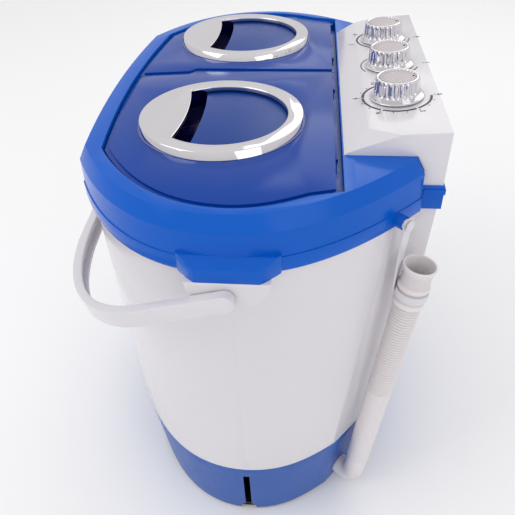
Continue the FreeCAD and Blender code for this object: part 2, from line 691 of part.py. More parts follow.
def corner_cut():
    """Half space that bevels the +X front corner of the panel."""
    p1 = V(PANEL_HALF - 14.0, PANEL_EDGE_Y + 1.0, panel_z(PANEL_EDGE_Y + 1.0))
    p2 = V(PANEL_HALF, PANEL_EDGE_Y + 26.0, panel_z(PANEL_EDGE_Y + 26.0))
    p3 = V(PANEL_HALF, PANEL_FRONT_Y + 2.5, RIM_TOP + 2.2)
    normal = (p2 - p1).cross(p3 - p1).normalize()
    if normal.x < 0:
        normal = normal * -1.0
    along = (p2 - p1).normalize()
    across = normal.cross(along)
    corners = []
    for a, c in ((-1, -1), (1, -1), (1, 1), (-1, 1)):
        corners.append(p1 + along * (80.0 * a) + across * (80.0 * c))
    return Part.Face(Part.makePolygon(corners + [corners[0]])).extrude(normal * 40.0)


def control_panel():
    rear_front = RIM_REAR_Y + 0.3
    bevel_foot = rear_front + 0.1
    bevel_head = rear_front - RIM_BEVEL_INSET
    profile = [(PANEL_FRONT_Y, RIM_TOP), (PANEL_EDGE_Y, PANEL_EDGE_Z), (PANEL_REAR_Y, PANEL_REAR_Z),
               (PANEL_REAR_Y, PANEL_SKIRT_Z), (rear_front, PANEL_SKIRT_Z), (bevel_foot, BEVEL_Z),
               (bevel_head, RIM_TOP)]
    solid = prism_x(profile, -PANEL_HALF, PANEL_HALF)
    slot = corner_cut()
    solid = drop(solid, [slot, mirror_x(slot)])
    w = PANEL_WALL
    inner = [(PANEL_FRONT_Y + 2 * w, RIM_TOP - 1.0), (PANEL_FRONT_Y + 2 * w, RIM_TOP + 0.5),
             (PANEL_EDGE_Y + w, panel_under(PANEL_EDGE_Y + w)), (PANEL_REAR_Y - w, panel_under(PANEL_REAR_Y - w)),
             (PANEL_REAR_Y - w, PANEL_SKIRT_Z - 1.0), (bevel_head - 1.0, PANEL_SKIRT_Z - 1.0),
             (bevel_head - 1.0, RIM_TOP - 1.0)]
    deep = PANEL_HALF - 20.0
    cuts = [prism_x(inner, -deep, deep)]
    end = [(PANEL_EDGE_Y + 27.0, RIM_TOP - 1.0), (PANEL_EDGE_Y + 27.0, panel_under(PANEL_EDGE_Y + 27.0)),
           (PANEL_REAR_Y - w, panel_under(PANEL_REAR_Y - w)), (PANEL_REAR_Y - w, PANEL_SKIRT_Z - 1.0),
           (bevel_head - 1.0, PANEL_SKIRT_Z - 1.0), (bevel_head - 1.0, RIM_TOP - 1.0)]
    cuts.append(prism_x(end, -PANEL_HALF + w, PANEL_HALF - w))
    for name, x in KNOBS:
        cuts.append(on_panel(cyl(BUSH_R, -20.0, 10.0), x))
    return save("control_panel", drop(solid, cuts))


def knob(name, x):
    top = KNOB_FLOAT + KNOB_HEIGHT
    profile = [(0, KNOB_FLOAT), (KNOB_SKIRT_R, KNOB_FLOAT), (KNOB_SKIRT_R, KNOB_FLOAT + 1.2),
               (KNOB_R + 1.2, KNOB_FLOAT + 3.6), (KNOB_R, KNOB_FLOAT + 4.6), (KNOB_R - 1.0, top - 1.2),
               (KNOB_R - 2.2, top), (KNOB_DISC_R + 0.6, top), (KNOB_DISC_R, top - 0.8), (KNOB_DISC_R, top - 2.0),
               (0, top - 2.0)]
    body = revolve(profile)
    flutes = []
    for i in range(KNOB_FLUTES):
        a = 2 * math.pi * i / KNOB_FLUTES
        flutes.append(cyl(1.5, KNOB_FLOAT + 4.6, top - 0.5, (KNOB_R + 0.7) * math.cos(a), (KNOB_R + 0.7) * math.sin(a)))
    pocket = revolve([(BUSH_R + 2.0, KNOB_FLOAT - 1.0), (KNOB_R - 4.0, KNOB_FLOAT - 1.0),
                      (KNOB_R - 4.0, top - 5.0), (BUSH_R + 2.0, top - 5.0)])
    bore = cyl(SHAFT_R, KNOB_FLOAT - 1.0, top - 5.0)
    save(name + "_knob", on_panel(drop(body, flutes + [pocket, bore]), x))
    save(name + "_knob_cap", on_panel(cyl(KNOB_DISC_R, top - 2.0, top - 0.4), x))
    save(name + "_shaft", on_panel(cyl(SHAFT_R, -TIMER_DEPTH + 8.0, top - 5.0), x))


def timer_body(name, x):
    """Clockwork timer or switch screwed up under the panel, with a bush for its shaft."""
    half = 0.5 * TIMER_SIZE
    top = -PANEL_WALL
    body = box(-half, half, -0.8 * half, 0.8 * half, top - TIMER_DEPTH, top)
    neck = cyl(BUSH_R - 0.4, top - 1.0, 0.0)
    gear = cyl(0.7 * half, top - TIMER_DEPTH - 5.0, top - TIMER_DEPTH + 1.0)
    bore = cyl(SHAFT_R + RUN_FIT, -TIMER_DEPTH + 7.5, 1.0)
    save(name + "_body", on_panel(drop(join([body, neck, gear]), [bore]), x))


# ---------------------------------------------------------------- casing and base
def boss():
    """White half-oval pad under the lip that carries the handle pivot."""
    circle = Part.Ellipse(V(0, 0, 0), BOSS_HALF_Y, BOSS_HEIGHT).toShape()
    face = Part.Face(Part.Wire([circle]))
    face.rotate(V(0, 0, 0), V(0, 0, 1), 90)
    face.rotate(V(0, 0, 0), V(0, 1, 0), 90)
    face.translate(V(RIM_HALF_LENGTH - 20.0, RIM_END_Y, RIM_BOTTOM))
    pad = face.extrude(V(BAIL_HALF - BAIL_DEPTH - 0.8 - RIM_HALF_LENGTH + 20.0, 0, 0))
    return pad.common(box(0, FAR, -FAR, FAR, 0, RIM_BOTTOM))


def rear_plane_y(z):
    share = (z - BODY_BOTTOM) / (RIM_BOTTOM - BODY_BOTTOM)
    return MID_COLUMN_Y + (COLUMN_TOP_Y - MID_COLUMN_Y) * share


COVER_HALF = 126.0
COVER_Z0 = 118.0
COVER_Z1 = 372.0
COVER_THICK = 2.4
COVER_LAP = 9.0
SCREW_HEAD_R = 3.6


def rear_slab(x_half, z0, z1, depth0, depth1):
    points = [(rear_plane_y(z0) + depth0, z0), (rear_plane_y(z0) + depth1, z0),
              (rear_plane_y(z1) + depth1, z1), (rear_plane_y(z1) + depth0, z1)]
    return prism_x(points, -x_half, x_half)


def outer_casing():
    outer = loft(MID_BODY.wire(BODY_BOTTOM), TOP_BODY.wire(RIM_BOTTOM))
    inner = loft(MID_BODY.inset(CASING_WALL).wire(BODY_BOTTOM), TOP_BODY.inset(CASING_WALL).wire(RIM_BOTTOM))
    collar_top = RIM_BOTTOM + CASING_COLLAR
    rear = box(-FAR, FAR, COLLAR_END_Y, FAR, RIM_BOTTOM, FAR * 2)
    collar = TOP_BODY.inset(COLLAR_STEP).prism(RIM_BOTTOM, collar_top).cut(rear)
    inner_collar = TOP_BODY.inset(CASING_WALL).prism(RIM_BOTTOM, collar_top + 1.0)
    bracket = boss()
    solid = join([outer, collar, bracket, mirror_x(bracket)])
    solid = drop(solid, [inner, inner_collar])
    window = rear_slab(COVER_HALF - COVER_LAP, COVER_Z0 + COVER_LAP, COVER_Z1 - COVER_LAP, -9.0, 9.0)
    pin = cyl_x(BAIL_PIN_R, RIM_HALF_LENGTH - 14.0, BAIL_HALF, BAIL_PIVOT_Y, BAIL_PIVOT_Z)
    return save("outer_casing", drop(solid, [window, pin, mirror_x(pin)]))


def screw_places():
    places = []
    for x in (-COVER_HALF + 5.0, 0.0, COVER_HALF - 5.0):
        for z in (COVER_Z0 + 5.0, COVER_Z1 - 5.0):
            places.append((x, z))
    for x in (-COVER_HALF + 5.0, COVER_HALF - 5.0):
        places.append((x, 0.5 * (COVER_Z0 + COVER_Z1)))
    return places


def back_cover():
    plate = rear_slab(COVER_HALF, COVER_Z0, COVER_Z1, 0.0, COVER_THICK)
    cuts = []
    for row in range(12):
        z = COVER_Z0 + 32.0 + row * 9.0
        for x in (-62.0, 0.0, 62.0):
            cuts.append(box(x - 24.0, x + 24.0, 0.0, FAR, z, z + 3.4))
    save("back_cover", drop(plate, cuts))
    screws = []
    for x, z in screw_places():
        y = rear_plane_y(z + SCREW_HEAD_R) + COVER_THICK
        screws.append(Part.makeCylinder(SCREW_HEAD_R, 1.8, V(x, y, z), V(0, 1, 0)))
    save("back_cover_screws", Part.makeCompound(screws))


SLOT_HALF = 3.6
SLOT_TOP = 82.0
GLAND_X = -104.0
GLAND_Z = 62.0
GLAND_R = 7.0


def body_at(z):
    share = (z - FOOT_HEIGHT) / (BODY_BOTTOM - FOOT_HEIGHT)
    return blend(LOW_BODY, MID_BODY, share)


def base_skirt():
    outer = loft(LOW_BODY.wire(FOOT_HEIGHT), MID_BODY.wire(BODY_BOTTOM))
    inner = loft(LOW_BODY.inset(BASE_WALL).wire(FOOT_HEIGHT), MID_BODY.inset(BASE_WALL).wire(BODY_BOTTOM))
    lip_out = blend(MID_BODY, TOP_BODY, 0.0).inset(CASING_WALL + 0.3)
    lip_ring = lip_out.prism(BODY_BOTTOM - 8.0, BODY_BOTTOM + BASE_LIP)
    lip_ring = lip_ring.cut(lip_out.inset(2.0).prism(BODY_BOTTOM - 9.0, BODY_BOTTOM + BASE_LIP + 1.0))
    solid = join([outer.cut(inner), lip_ring])
    x = LOW_BODY.half
    slot = box(x - 20.0, x + 40.0, RIM_END_Y - SLOT_HALF, RIM_END_Y + SLOT_HALF, FOOT_HEIGHT - 1.0, SLOT_TOP)
    arch = cyl_x(9.0, x - 20.0, x + 40.0, RIM_END_Y, FOOT_HEIGHT + 2.0)
    cuts = [slot, arch, mirror_x(slot), mirror_x(arch)]
    cuts.append(elbow_route_cut())
    rear_y = body_at(GLAND_Z).tail[-1][1]
    cuts.append(Part.makeCylinder(GLAND_R, 20.0, V(GLAND_X, rear_y - 10.0, GLAND_Z), V(0, 1, 0)))
    return save("base_skirt", drop(solid, cuts))


def cord_gland():
    rear_y = body_at(GLAND_Z).tail[-1][1]
    body = Part.makeCylinder(GLAND_R, 14.0, V(GLAND_X, rear_y - 8.0, GLAND_Z), V(0, 1, 0))
    nose = Part.makeCone(GLAND_R + 3.0, GLAND_R - 1.0, 8.0, V(GLAND_X, rear_y + 1.3, GLAND_Z), V(0, 1, 0))
    bore = Part.makeCylinder(3.5, 30.0, V(GLAND_X, rear_y - 12.0, GLAND_Z), V(0, 1, 0))
    return save("cord_gland", join([body, nose]).cut(bore))


def base_plate():
    plate = LOW_BODY.inset(BASE_WALL + 0.9).prism(FOOT_HEIGHT, FOOT_HEIGHT + PLATE)
    ledge = LOW_BODY.inset(BASE_WALL).prism(FOOT_HEIGHT, FOOT_HEIGHT + 0.2)
    solid = join([plate, ledge])
    vents = []
    for i in range(5):
        for x in (SPIN_X, WASH_MOTOR_X + 50.0):
            vents.append(box(x - 30.0 + i * 13.0, x - 25.0 + i * 13.0, -112.0, -84.0, 0.0, 20.0))
    return save("base_plate", drop(solid, vents))


FOOT_X_FRONT = 158.0
FOOT_Y_FRONT = -88.0
FOOT_X_REAR = 118.0
FOOT_Y_REAR = 108.0


def feet():
    pads = []
    for half_x, y in ((FOOT_X_FRONT, FOOT_Y_FRONT), (FOOT_X_REAR, FOOT_Y_REAR)):
        for x in (-half_x, half_x):
            profile = [(0, 0), (12.0, 0), (14.0, 1.0), (14.0, FOOT_HEIGHT), (0, FOOT_HEIGHT)]
            pads.append(revolve(profile, x, y))
    save("rubber_feet", Part.makeCompound(pads))


# ---------------------------------------------------------------- wash side
def wash_tub():
    wall_out = loft(d_wire(TUB_FLOOR_Z, TUB_LIP + TUB_WALL, TUB_TAPER), d_wire(UNDER_Z, TUB_LIP + TUB_WALL))
    wall_in = loft(d_wire(TUB_FLOOR_Z + DECK, TUB_LIP, TUB_TAPER), d_wire(UNDER_Z, TUB_LIP))
    flange = prism(d_wire(UNDER_Z - DECK, TUB_FLANGE), DECK)
    solid = drop(join([wall_out, flange]), [wall_in])
    shaft_hole = cyl(PULSATOR_SHAFT_R + 3.0, TUB_FLOOR_Z - 1.0, TUB_FLOOR_Z + 10.0, PULSATOR_X, PULSATOR_Y)
    port = cyl(PORT_R, TUB_FLOOR_Z - 1.0, TUB_FLOOR_Z + 10.0, VALVE_X, VALVE_Y)
    return save("wash_tub", drop(solid, [shaft_hole, port]))


def pulsator():
    z = TUB_FLOOR_Z + DECK + 3.0
    disc = revolve([(0, z), (PULSATOR_R, z), (PULSATOR_R, z + 2.0), (PULSATOR_R - 8.0, z + 4.0),
                    (26.0, z + 6.0), (18.0, z + 17.0), (0, z + 20.0)], PULSATOR_X, PULSATOR_Y)
    fins = []
    for i in range(4):
        fin = box(14.0, PULSATOR_R - 5.0, -3.5, 3.5, z + 1.0, z + 13.0)
        fin = fin.cut(Part.makeCylinder(40.0, 20.0, V(PULSATOR_R + 22.0, -10.0, z + 30.0), V(0, 1, 0)))
        fin.rotate(V(0, 0, 0), V(0, 0, 1), 90.0 * i + 20.0)
        fin.translate(V(PULSATOR_X, PULSATOR_Y, 0))
        fins.append(fin)
    bore = cyl(PULSATOR_SHAFT_R, z - 1.0, z + 10.0, PULSATOR_X, PULSATOR_Y)
    save("pulsator", drop(join([disc] + fins), [bore]))
    shaft = cyl(PULSATOR_SHAFT_R, PULLEY_Z - 4.0, z + 10.0, PULSATOR_X, PULSATOR_Y)
    save("pulsator_shaft", shaft)
    top = TUB_FLOOR_Z + DECK + 1.5
    house = revolve([(PULSATOR_SHAFT_R + RUN_FIT, 132.0), (14.0, 132.0), (14.0, 150.0), (34.0, TUB_FLOOR_Z - 5.0),
                     (34.0, TUB_FLOOR_Z), (PULSATOR_SHAFT_R + 3.0, TUB_FLOOR_Z), (PULSATOR_SHAFT_R + 3.0, top),
                     (PULSATOR_SHAFT_R + RUN_FIT, top)], PULSATOR_X, PULSATOR_Y)
    save("pulsator_bearing", house)


def pulley(name, radius, shaft_r, x, y):
    """V-belt pulley: two flanges round a belt groove."""
    z0, z1 = PULLEY_Z, PULLEY_Z + PULLEY_H
    flange = 0.5 * (PULLEY_H - BELT_H) - 0.4
    groove = radius - BELT_T
    profile = [(shaft_r, z0), (radius, z0), (radius, z0 + flange), (groove, z0 + flange),
               (groove, z1 - flange), (radius, z1 - flange), (radius, z1), (shaft_r, z1)]
    wheel = revolve(profile, x, y)
    if radius > 30.0:
        holes = []
        for i in range(5):
            a = 2 * math.pi * i / 5
            holes.append(cyl(9.0, z0 - 1, z1 + 1, x + 28.0 * math.cos(a), y + 28.0 * math.sin(a)))
        wheel = drop(wheel, holes)
    save(name, wheel)


def belt():
    """Open belt round both pulleys."""
    dx = WASH_MOTOR_X - PULSATOR_X
    dy = WASH_MOTOR_Y - PULSATOR_Y
    span = math.hypot(dx, dy)
    turn = math.atan2(dy, dx)

    def loop(r1, r2):
        lean = math.acos((r1 - r2) / span)
        points = []
        for sign in (1, -1):
            a = turn + sign * lean
            points.append((PULSATOR_X + r1 * math.cos(a), PULSATOR_Y + r1 * math.sin(a)))
            points.append((WASH_MOTOR_X + r2 * math.cos(a), WASH_MOTOR_Y + r2 * math.sin(a)))
        z = PULLEY_Z + 0.5 * (PULLEY_H - BELT_H)
        p = [V(a, b, z) for a, b in points]
        far1 = V(PULSATOR_X - r1 * math.cos(turn), PULSATOR_Y - r1 * math.sin(turn), z)
        far2 = V(WASH_MOTOR_X + r2 * math.cos(turn), WASH_MOTOR_Y + r2 * math.sin(turn), z)
        wire = Part.Wire([Part.makeLine(p[0], p[1]), Part.Arc(p[1], far2, p[3]).toShape(),
                          Part.makeLine(p[3], p[2]), Part.Arc(p[2], far1, p[0]).toShape()])
        return prism(wire, BELT_H)

    groove = 0.35
    r1 = PULLEY_R - BELT_T + groove
    r2 = MOTOR_PULLEY_R - BELT_T + groove
    save("drive_belt", loop(r1 + BELT_T, r2 + BELT_T).cut(loop(r1, r2)))


def wash_motor():
    x, y = WASH_MOTOR_X, WASH_MOTOR_Y
    floor = FOOT_HEIGHT + PLATE
    body = revolve([(0, 30.0), (WASH_MOTOR_R - 14.0, 30.0), (WASH_MOTOR_R - 6.0, 38.0), (WASH_MOTOR_R, 42.0),
                    (WASH_MOTOR_R, 88.0), (WASH_MOTOR_R - 6.0, 92.0), (WASH_MOTOR_R - 14.0, 100.0), (0, 100.0)], x, y)
    bore = cyl(5.0 + RUN_FIT, 60.0, 101.0, x, y)
    save("wash_motor", drop(body, [bore]))
    save("wash_motor_shaft", cyl(5.0, 62.0, PULLEY_Z + PULLEY_H + 4.0, x, y))
    plate = box(x - 50.0, x + 50.0, y - 34.0, y + 34.0, 27.0, 30.0)
    legs = [cyl(6.0, floor, 27.5, x + sx * 42.0, y + sy * 26.0) for sx in (-1, 1) for sy in (-1, 1)]
    save("wash_motor_bracket", join([plate] + legs))


# ---------------------------------------------------------------- spin side
def spin_outer_tub():
    x, y = SPIN_X, SPIN_Y
    r = SPIN_TUB_R
    profile = [(18.0, TUB_FLOOR_Z), (r, TUB_FLOOR_Z), (r, UNDER_Z - DECK), (r + 5.0, UNDER_Z - DECK),
               (r + 5.0, UNDER_Z), (r - TUB_WALL, UNDER_Z), (r - TUB_WALL, TUB_FLOOR_Z + DECK), (18.0, TUB_FLOOR_Z + DECK)]
    shell = revolve(profile, x, y)
    port = cyl(PIPE_BORE, TUB_FLOOR_Z - 2.0, TUB_FLOOR_Z + 10.0, SPOUT_X, SPOUT_Y)
    return save("spin_outer_tub", drop(shell, [port]))


SPOUT_X = -70.0
SPOUT_Y = 4.0


def spin_parts():
    x, y = SPIN_X, SPIN_Y
    b0, b1 = BASKET_BOTTOM, BASKET_TOP
    inner = BASKET_R - BASKET_WALL
    profile = [(SPIN_SHAFT_R, b0), (BASKET_R, b0), (BASKET_R, b1 - 12.0), (BALANCE_R, b1 - 10.0), (BALANCE_R, b1),
               (inner - 6.0, b1), (inner - 6.0, b1 - 10.0), (inner, b1 - 12.0), (inner, b0 + 3.0), (22.0, b0 + 3.0),
               (14.0, b0 + 22.0), (SPIN_SHAFT_R, b0 + 22.0)]
    basket = revolve(profile, x, y)
    holes = []
    for row in range(7):
        for i in range(12):
            a = 2 * math.pi * (i + 0.5 * (row % 2)) / 12
            start = V(x + (inner - 4.0) * math.cos(a), y + (inner - 4.0) * math.sin(a), b0 + 28.0 + row * 26.0)
            holes.append(Part.makeCylinder(2.6, 12.0, start, V(math.cos(a), math.sin(a), 0)))
    save("spin_basket", drop(basket, holes))
    save("spin_shaft", cyl(SPIN_SHAFT_R, 60.0, b0 + 22.0, x, y))
    drum = revolve([(SPIN_SHAFT_R, 118.0), (26.0, 118.0), (30.0, 122.0), (30.0, 140.0), (27.0, 140.0), (27.0, 124.0),
                    (14.0, 124.0), (14.0, 146.0), (SPIN_SHAFT_R, 146.0)], x, y)
    save("spin_coupling", drum)
    seal = revolve([(SPIN_SHAFT_R + RUN_FIT, 152.0), (12.0, 152.0), (16.0, 158.0), (24.0, 160.0), (24.0, TUB_FLOOR_Z),
                    (18.0, TUB_FLOOR_Z), (18.0, TUB_FLOOR_Z + 6.0), (SPIN_SHAFT_R + RUN_FIT, TUB_FLOOR_Z + 10.0)], x, y)
    save("spin_shaft_seal", seal)
    r = SPIN_MOTOR_R
    body = revolve([(0, 24.0), (r - 4.0, 24.0), (r, 30.0), (r, 92.0), (r - 6.0, 98.0), (22.0, 100.0), (20.0, 110.0),
                    (0, 110.0)], x, y)
    save("spin_motor", drop(body, [cyl(SPIN_SHAFT_R + RUN_FIT, 58.0, 112.0, x, y)]))
    plate = cyl(66.0, 21.0, 24.0, x, y)
    save("spin_motor_bracket", plate)
    mounts = []
    for i in range(3):
        a = 2 * math.pi * i / 3 + 0.5
        mounts.append(cyl(9.0, FOOT_HEIGHT + PLATE, 21.0, x + 54.0 * math.cos(a), y + 54.0 * math.sin(a)))
    save("spin_motor_mounts", Part.makeCompound(mounts))


# ---------------------------------------------------------------- drain
PIPE_Z = 140.0


def drain_valve():
    x, y = VALVE_X, VALVE_Y
    z0, z1 = 120.0, TUB_FLOOR_Z
    shell = tube(VALVE_R, VALVE_R - 3.0, z0, z1, x, y)
    floor = cyl(VALVE_R, z0, z0 + 3.0, x, y)
    out = Part.makeCylinder(PIPE_R + 3.0, 12.0, V(x, y + VALVE_R - 4.0, PIPE_Z - 3.0), V(0, 1, 0))
    inlet = Part.makeCylinder(PIPE_R + 3.0, 12.0, V(x - VALVE_R + 4.0, y, PIPE_Z + 4.0), V(-1, 0, 0))
    inside = cyl(VALVE_R - 3.0, z0 + 3.0, z1 + 1.0, x, y)
    cuts = [inside, cyl(SHAFT_R + RUN_FIT, z0 - 1, z0 + 5, x, y),
            Part.makeCylinder(PIPE_R, 20.0, V(x, y + VALVE_R - 8.0, PIPE_Z - 3.0), V(0, 1, 0)),
            Part.makeCylinder(PIPE_R, 20.0, V(x - VALVE_R + 8.0, y, PIPE_Z + 4.0), V(-1, 0, 0))]
    save("drain_valve", drop(join([shell, floor, out, inlet]), cuts))
    head = cyl(VALVE_R - 6.0, z1 - 8.0, z1 - 0.4, x, y)
    stem = cyl(SHAFT_R, z0 - 14.0, z1 - 7.0, x, y)
    save("drain_plunger", join([head, stem]))


def spin_drain_pipe():
    y = VALVE_Y
    z = PIPE_Z + 4.0
    route = [(SPOUT_X, SPOUT_Y, TUB_FLOOR_Z), (SPOUT_X, SPOUT_Y, z), (SPOUT_X + 34.0, y, z),
             (VALVE_X - VALVE_R - 2.0, y, z)]
    wire = pipe_route(route, (10.0, 40.0))
    save("spin_drain_pipe", hollow_sweep(wire, PIPE_R, PIPE_BORE))


HOSE_POINTS = [(185.0, 121.0, 62.0), (184.0, 134.0, 190.0), (181.0, 147.0, 306.0)]
CUFF_LENGTH = 44.0
ELBOW_Z = 22.0
ELBOW_REACH = 12.0          # how far the elbow passes inside the base


def facet_normal():
    """Outward direction of the flat behind the hose, at the elbow."""
    section = body_at(ELBOW_Z)
    crease, root = section.shoulder, section.tail[0]
    return left_normal(unit(root[0] - crease[0], root[1] - crease[1]))


def elbow_points():
    """Square out through the flat, then up the line of the hose."""
    foot = V(*HOSE_POINTS[0])
    rise = foot - V(*HOSE_POINTS[1])
    corner = foot + rise * ((foot.z - ELBOW_Z) / (-rise.z))
    nx, ny = facet_normal()
    crease = body_at(ELBOW_Z).shoulder
    stand = (corner.x - crease[0]) * nx + (corner.y - crease[1]) * ny
    back = stand + ELBOW_REACH
    inner = (corner.x - nx * back, corner.y - ny * back, ELBOW_Z)
    return [inner, (corner.x, corner.y, ELBOW_Z), HOSE_POINTS[0]]


def elbow_route_cut():
    nx, ny = facet_normal()
    inner = V(*elbow_points()[0])
    return Part.makeCylinder(ELBOW_R, ELBOW_REACH + 12.0, inner - V(nx, ny, 0) * 6.0, V(nx, ny, 0))


def drain_pipe():
    y = VALVE_Y + VALVE_R - 4.0
    z = PIPE_Z - 3.0
    nx, ny = facet_normal()
    end = elbow_points()[0]
    drop_y = end[1] - ny * (end[0] - VALVE_X) / nx
    route = [(VALVE_X, y + 2.0, z), (VALVE_X, drop_y, z), (VALVE_X, drop_y, ELBOW_Z), end]
    wire = pipe_route(route, (11.0, 11.0))
    save("drain_pipe", hollow_sweep(wire, PIPE_R, PIPE_BORE))


def hose_end():
    """Upper end of the hose and the direction in which it points."""
    start = V(*HOSE_POINTS[-1])
    return start, (start - V(*HOSE_POINTS[-2])).normalize()


def hose_line(points):
    radii = []
    for a, b, c in zip(points, points[1:], points[2:]):
        u = (V(*b) - V(*a))
        w = (V(*c) - V(*b))
        turn = u.getAngle(w)
        radius = 0.45 * min(u.Length, w.Length) / math.tan(0.5 * turn)
        radii.append(radius)
    print("hose radii", [round(r) for r in radii])
    return pipe_route(points, radii)


def drain_hose():
    route = pipe_route(elbow_points(), (15.0,))
    save("drain_elbow", hollow_sweep(route, ELBOW_R, ELBOW_R - 2.5))
    wire = hose_line(HOSE_POINTS)
    solid = sweep(wire, HOSE_R)
    ideal = math.pi * HOSE_R ** 2 * wire.Length
    print("hose length", round(wire.Length, 1), "volume ratio", round(solid.Volume / ideal, 4))
    save("drain_hose", solid)
    start, axis = hose_end()
    length = CUFF_LENGTH
    profile = [(HOSE_BORE - 1.0, 0.0), (HOSE_R + 1.5, 0.0), (HOSE_R + 1.5, 5.0), (HOSE_R + 0.4, 6.5), (HOSE_R + 0.4, 18.0),
               (HOSE_R + 2.0, 20.0), (HOSE_R + 2.0, 23.0), (HOSE_R + 0.4, 25.0), (HOSE_R + 0.4, length - 9.0),
               (HOSE_R + 2.6, length), (HOSE_R + 0.8, length), (HOSE_R - 1.4, length - 8.0), (HOSE_BORE - 1.0, 6.0)]
    cuff = revolve(profile)
    turn = FreeCAD.Rotation(V(0, 0, 1), axis)
    cuff.Placement = FreeCAD.Placement(start, turn)
    save("hose_cuff", cuff)


def hose_strap():
    """Peg in the rim clip and a strap down to a loop round the cuff."""
    peg = clip_cyl(PEG_R, -0.8, 9.5, CLIP_Z).fuse([clip_cyl(PEG_R + 1.6, 4.0, 5.0, CLIP_Z),
                                                   clip_cyl(PEG_R + 1.6, 8.2, 9.5, CLIP_Z)])
    save("strap_peg", peg)
    start, axis = hose_end()
    ring = Part.makeCylinder(HOSE_R + 2.2, 8.0).cut(Part.makeCylinder(HOSE_R + 0.5, 8.0))
    ring.Placement = FreeCAD.Placement(start + axis * 8.5, FreeCAD.Rotation(V(0, 0, 1), axis))
    high = V(CLIP_X + CLIP_DIR[0] * 6.6, CLIP_Y + CLIP_DIR[1] * 6.6, CLIP_Z + PEG_R + 3.0)
    centre = start + axis * 12.5
    hug = unit(-0.35, -0.94)
    low = centre + V(hug[0], hug[1], 0) * (HOSE_R + 2.9)
    half_width = PEG_R + 2.2
    stations = ((high, V(CLIP_DIR[0], CLIP_DIR[1], 0)), (low, V(-hug[0], -hug[1], 0)))
    corners = []
    for point, out in stations:
        side = V(out.y, -out.x, 0)
        for s, o in ((-1, -1), (1, -1), (1, 1), (-1, 1)):
            corners.append(point + side * (half_width * s) + out * (0.8 * o))
    lower = Part.makePolygon(corners[4:] + [corners[4]])
    upper = Part.makePolygon(corners[:4] + [corners[0]])
    band = loft(lower, upper)
    core = Part.makeCylinder(HOSE_R + 0.5, 60.0)
    core.Placement = FreeCAD.Placement(start - axis * 5.0, FreeCAD.Rotation(V(0, 0, 1), axis))
    band = band.cut([core, peg])
    save("hose_strap", join([ring, band]))


# ---------------------------------------------------------------- carry handle
def bail_face(grow):
    """U-shaped plan of the handle about its pivots, shrunk inwards by a given amount."""
    half = BAIL_HALF - grow
    front = -BAIL_FRONT_R + grow
    cx = 150.0 - 0.3 * grow
    cy = front + 6.0
    start = 0.0
    edges = [Part.makeLine(V(half, start, 0), V(half, -67.0, 0))]
    right = [V(half, -67.0, 0), V(half, -67.0 - 52.0, 0), V(cx + 72.0, cy + 10.0, 0), V(cx, cy, 0)]
    curve = Part.BezierCurve()
    curve.setPoles(right)
    edges.append(curve.toShape())
    edges.append(Part.Arc(V(cx, cy, 0), V(0, front, 0), V(-cx, cy, 0)).toShape())
    curve = Part.BezierCurve()
    curve.setPoles([V(-p.x, p.y, 0) for p in right[::-1]])
    edges.append(curve.toShape())
    edges.append(Part.makeLine(V(-half, -67.0, 0), V(-half, start, 0)))
    edges.append(Part.makeLine(V(-half, start, 0), V(half, start, 0)))
    return Part.Face(Part.Wire(edges))


def bail_prism(grow, half_height):
    face = bail_face(grow)
    face.translate(V(0, 0, -half_height))
    return face.extrude(V(0, 0, 2 * half_height))


def carry_handle():
    half = 0.5 * BAIL_HEIGHT
    outer = bail_prism(0.0, half)
    solid = outer.cut(bail_prism(BAIL_DEPTH, half + 1.0))
    channel = bail_prism(BAIL_WEB, half - BAIL_WEB).cut(bail_prism(BAIL_DEPTH + 2.0, half + 1.0))
    solid = solid.cut(channel)
    ends = []
    for sign in (-1, 1):
        x0 = sign * (BAIL_HALF - BAIL_DEPTH)
        x1 = sign * BAIL_HALF
        ends.append(cyl_x(half, min(x0, x1), max(x0, x1), 0.0, 0.0))
    solid = join([solid] + ends)
    deep = BAIL_HALF - BAIL_CLOSED
    bores = [cyl_x(BAIL_PIN_R + RUN_FIT, -deep, deep, 0.0, 0.0)]
    solid = drop(solid, bores)
    solid.rotate(V(0, 0, 0), V(1, 0, 0), BAIL_TILT)
    solid.translate(V(0, BAIL_PIVOT_Y, BAIL_PIVOT_Z))
    save("carry_handle", solid)
    pins = []
    for sign in (1, -1):
        x0 = RIM_HALF_LENGTH - 13.5
        x1 = BAIL_HALF - BAIL_CLOSED - AIR
        pins.append(cyl_x(BAIL_PIN_R, min(sign * x0, sign * x1), max(sign * x0, sign * x1), BAIL_PIVOT_Y, BAIL_PIVOT_Z))
    save("handle_pins", Part.makeCompound(pins))


# ---------------------------------------------------------------- small things
def lint_filter():
    wall_x = TUB_X0 - TUB_LIP
    frame = box(wall_x, wall_x + 8.0, -62.0, 2.0, 250.0, 360.0)
    cuts = [box(wall_x + 2.0, wall_x + 6.0, -59.0, -1.0, 253.0, 361.0)]
    for i in range(9):
        cuts.append(box(wall_x + 5.0, wall_x + 9.0, -55.0, -5.0, 260.0 + i * 9.5, 264.5 + i * 9.5))
    save("lint_filter", drop(frame, cuts))


def capacitor():
    x, y = -62.0, 96.0
    floor = FOOT_HEIGHT + PLATE
    can = revolve([(0, floor), (17.0, floor), (18.0, floor + 1.0), (18.0, floor + 52.0), (16.0, floor + 54.0),
                   (0, floor + 54.0)], x, y)
    pins = [box(x - 7.0 + 12.0 * i, x - 5.0 + 12.0 * i, y - 3.0, y + 3.0, floor + 53.5, floor + 62.0) for i in range(2)]
    save("motor_capacitor", join([can] + pins))


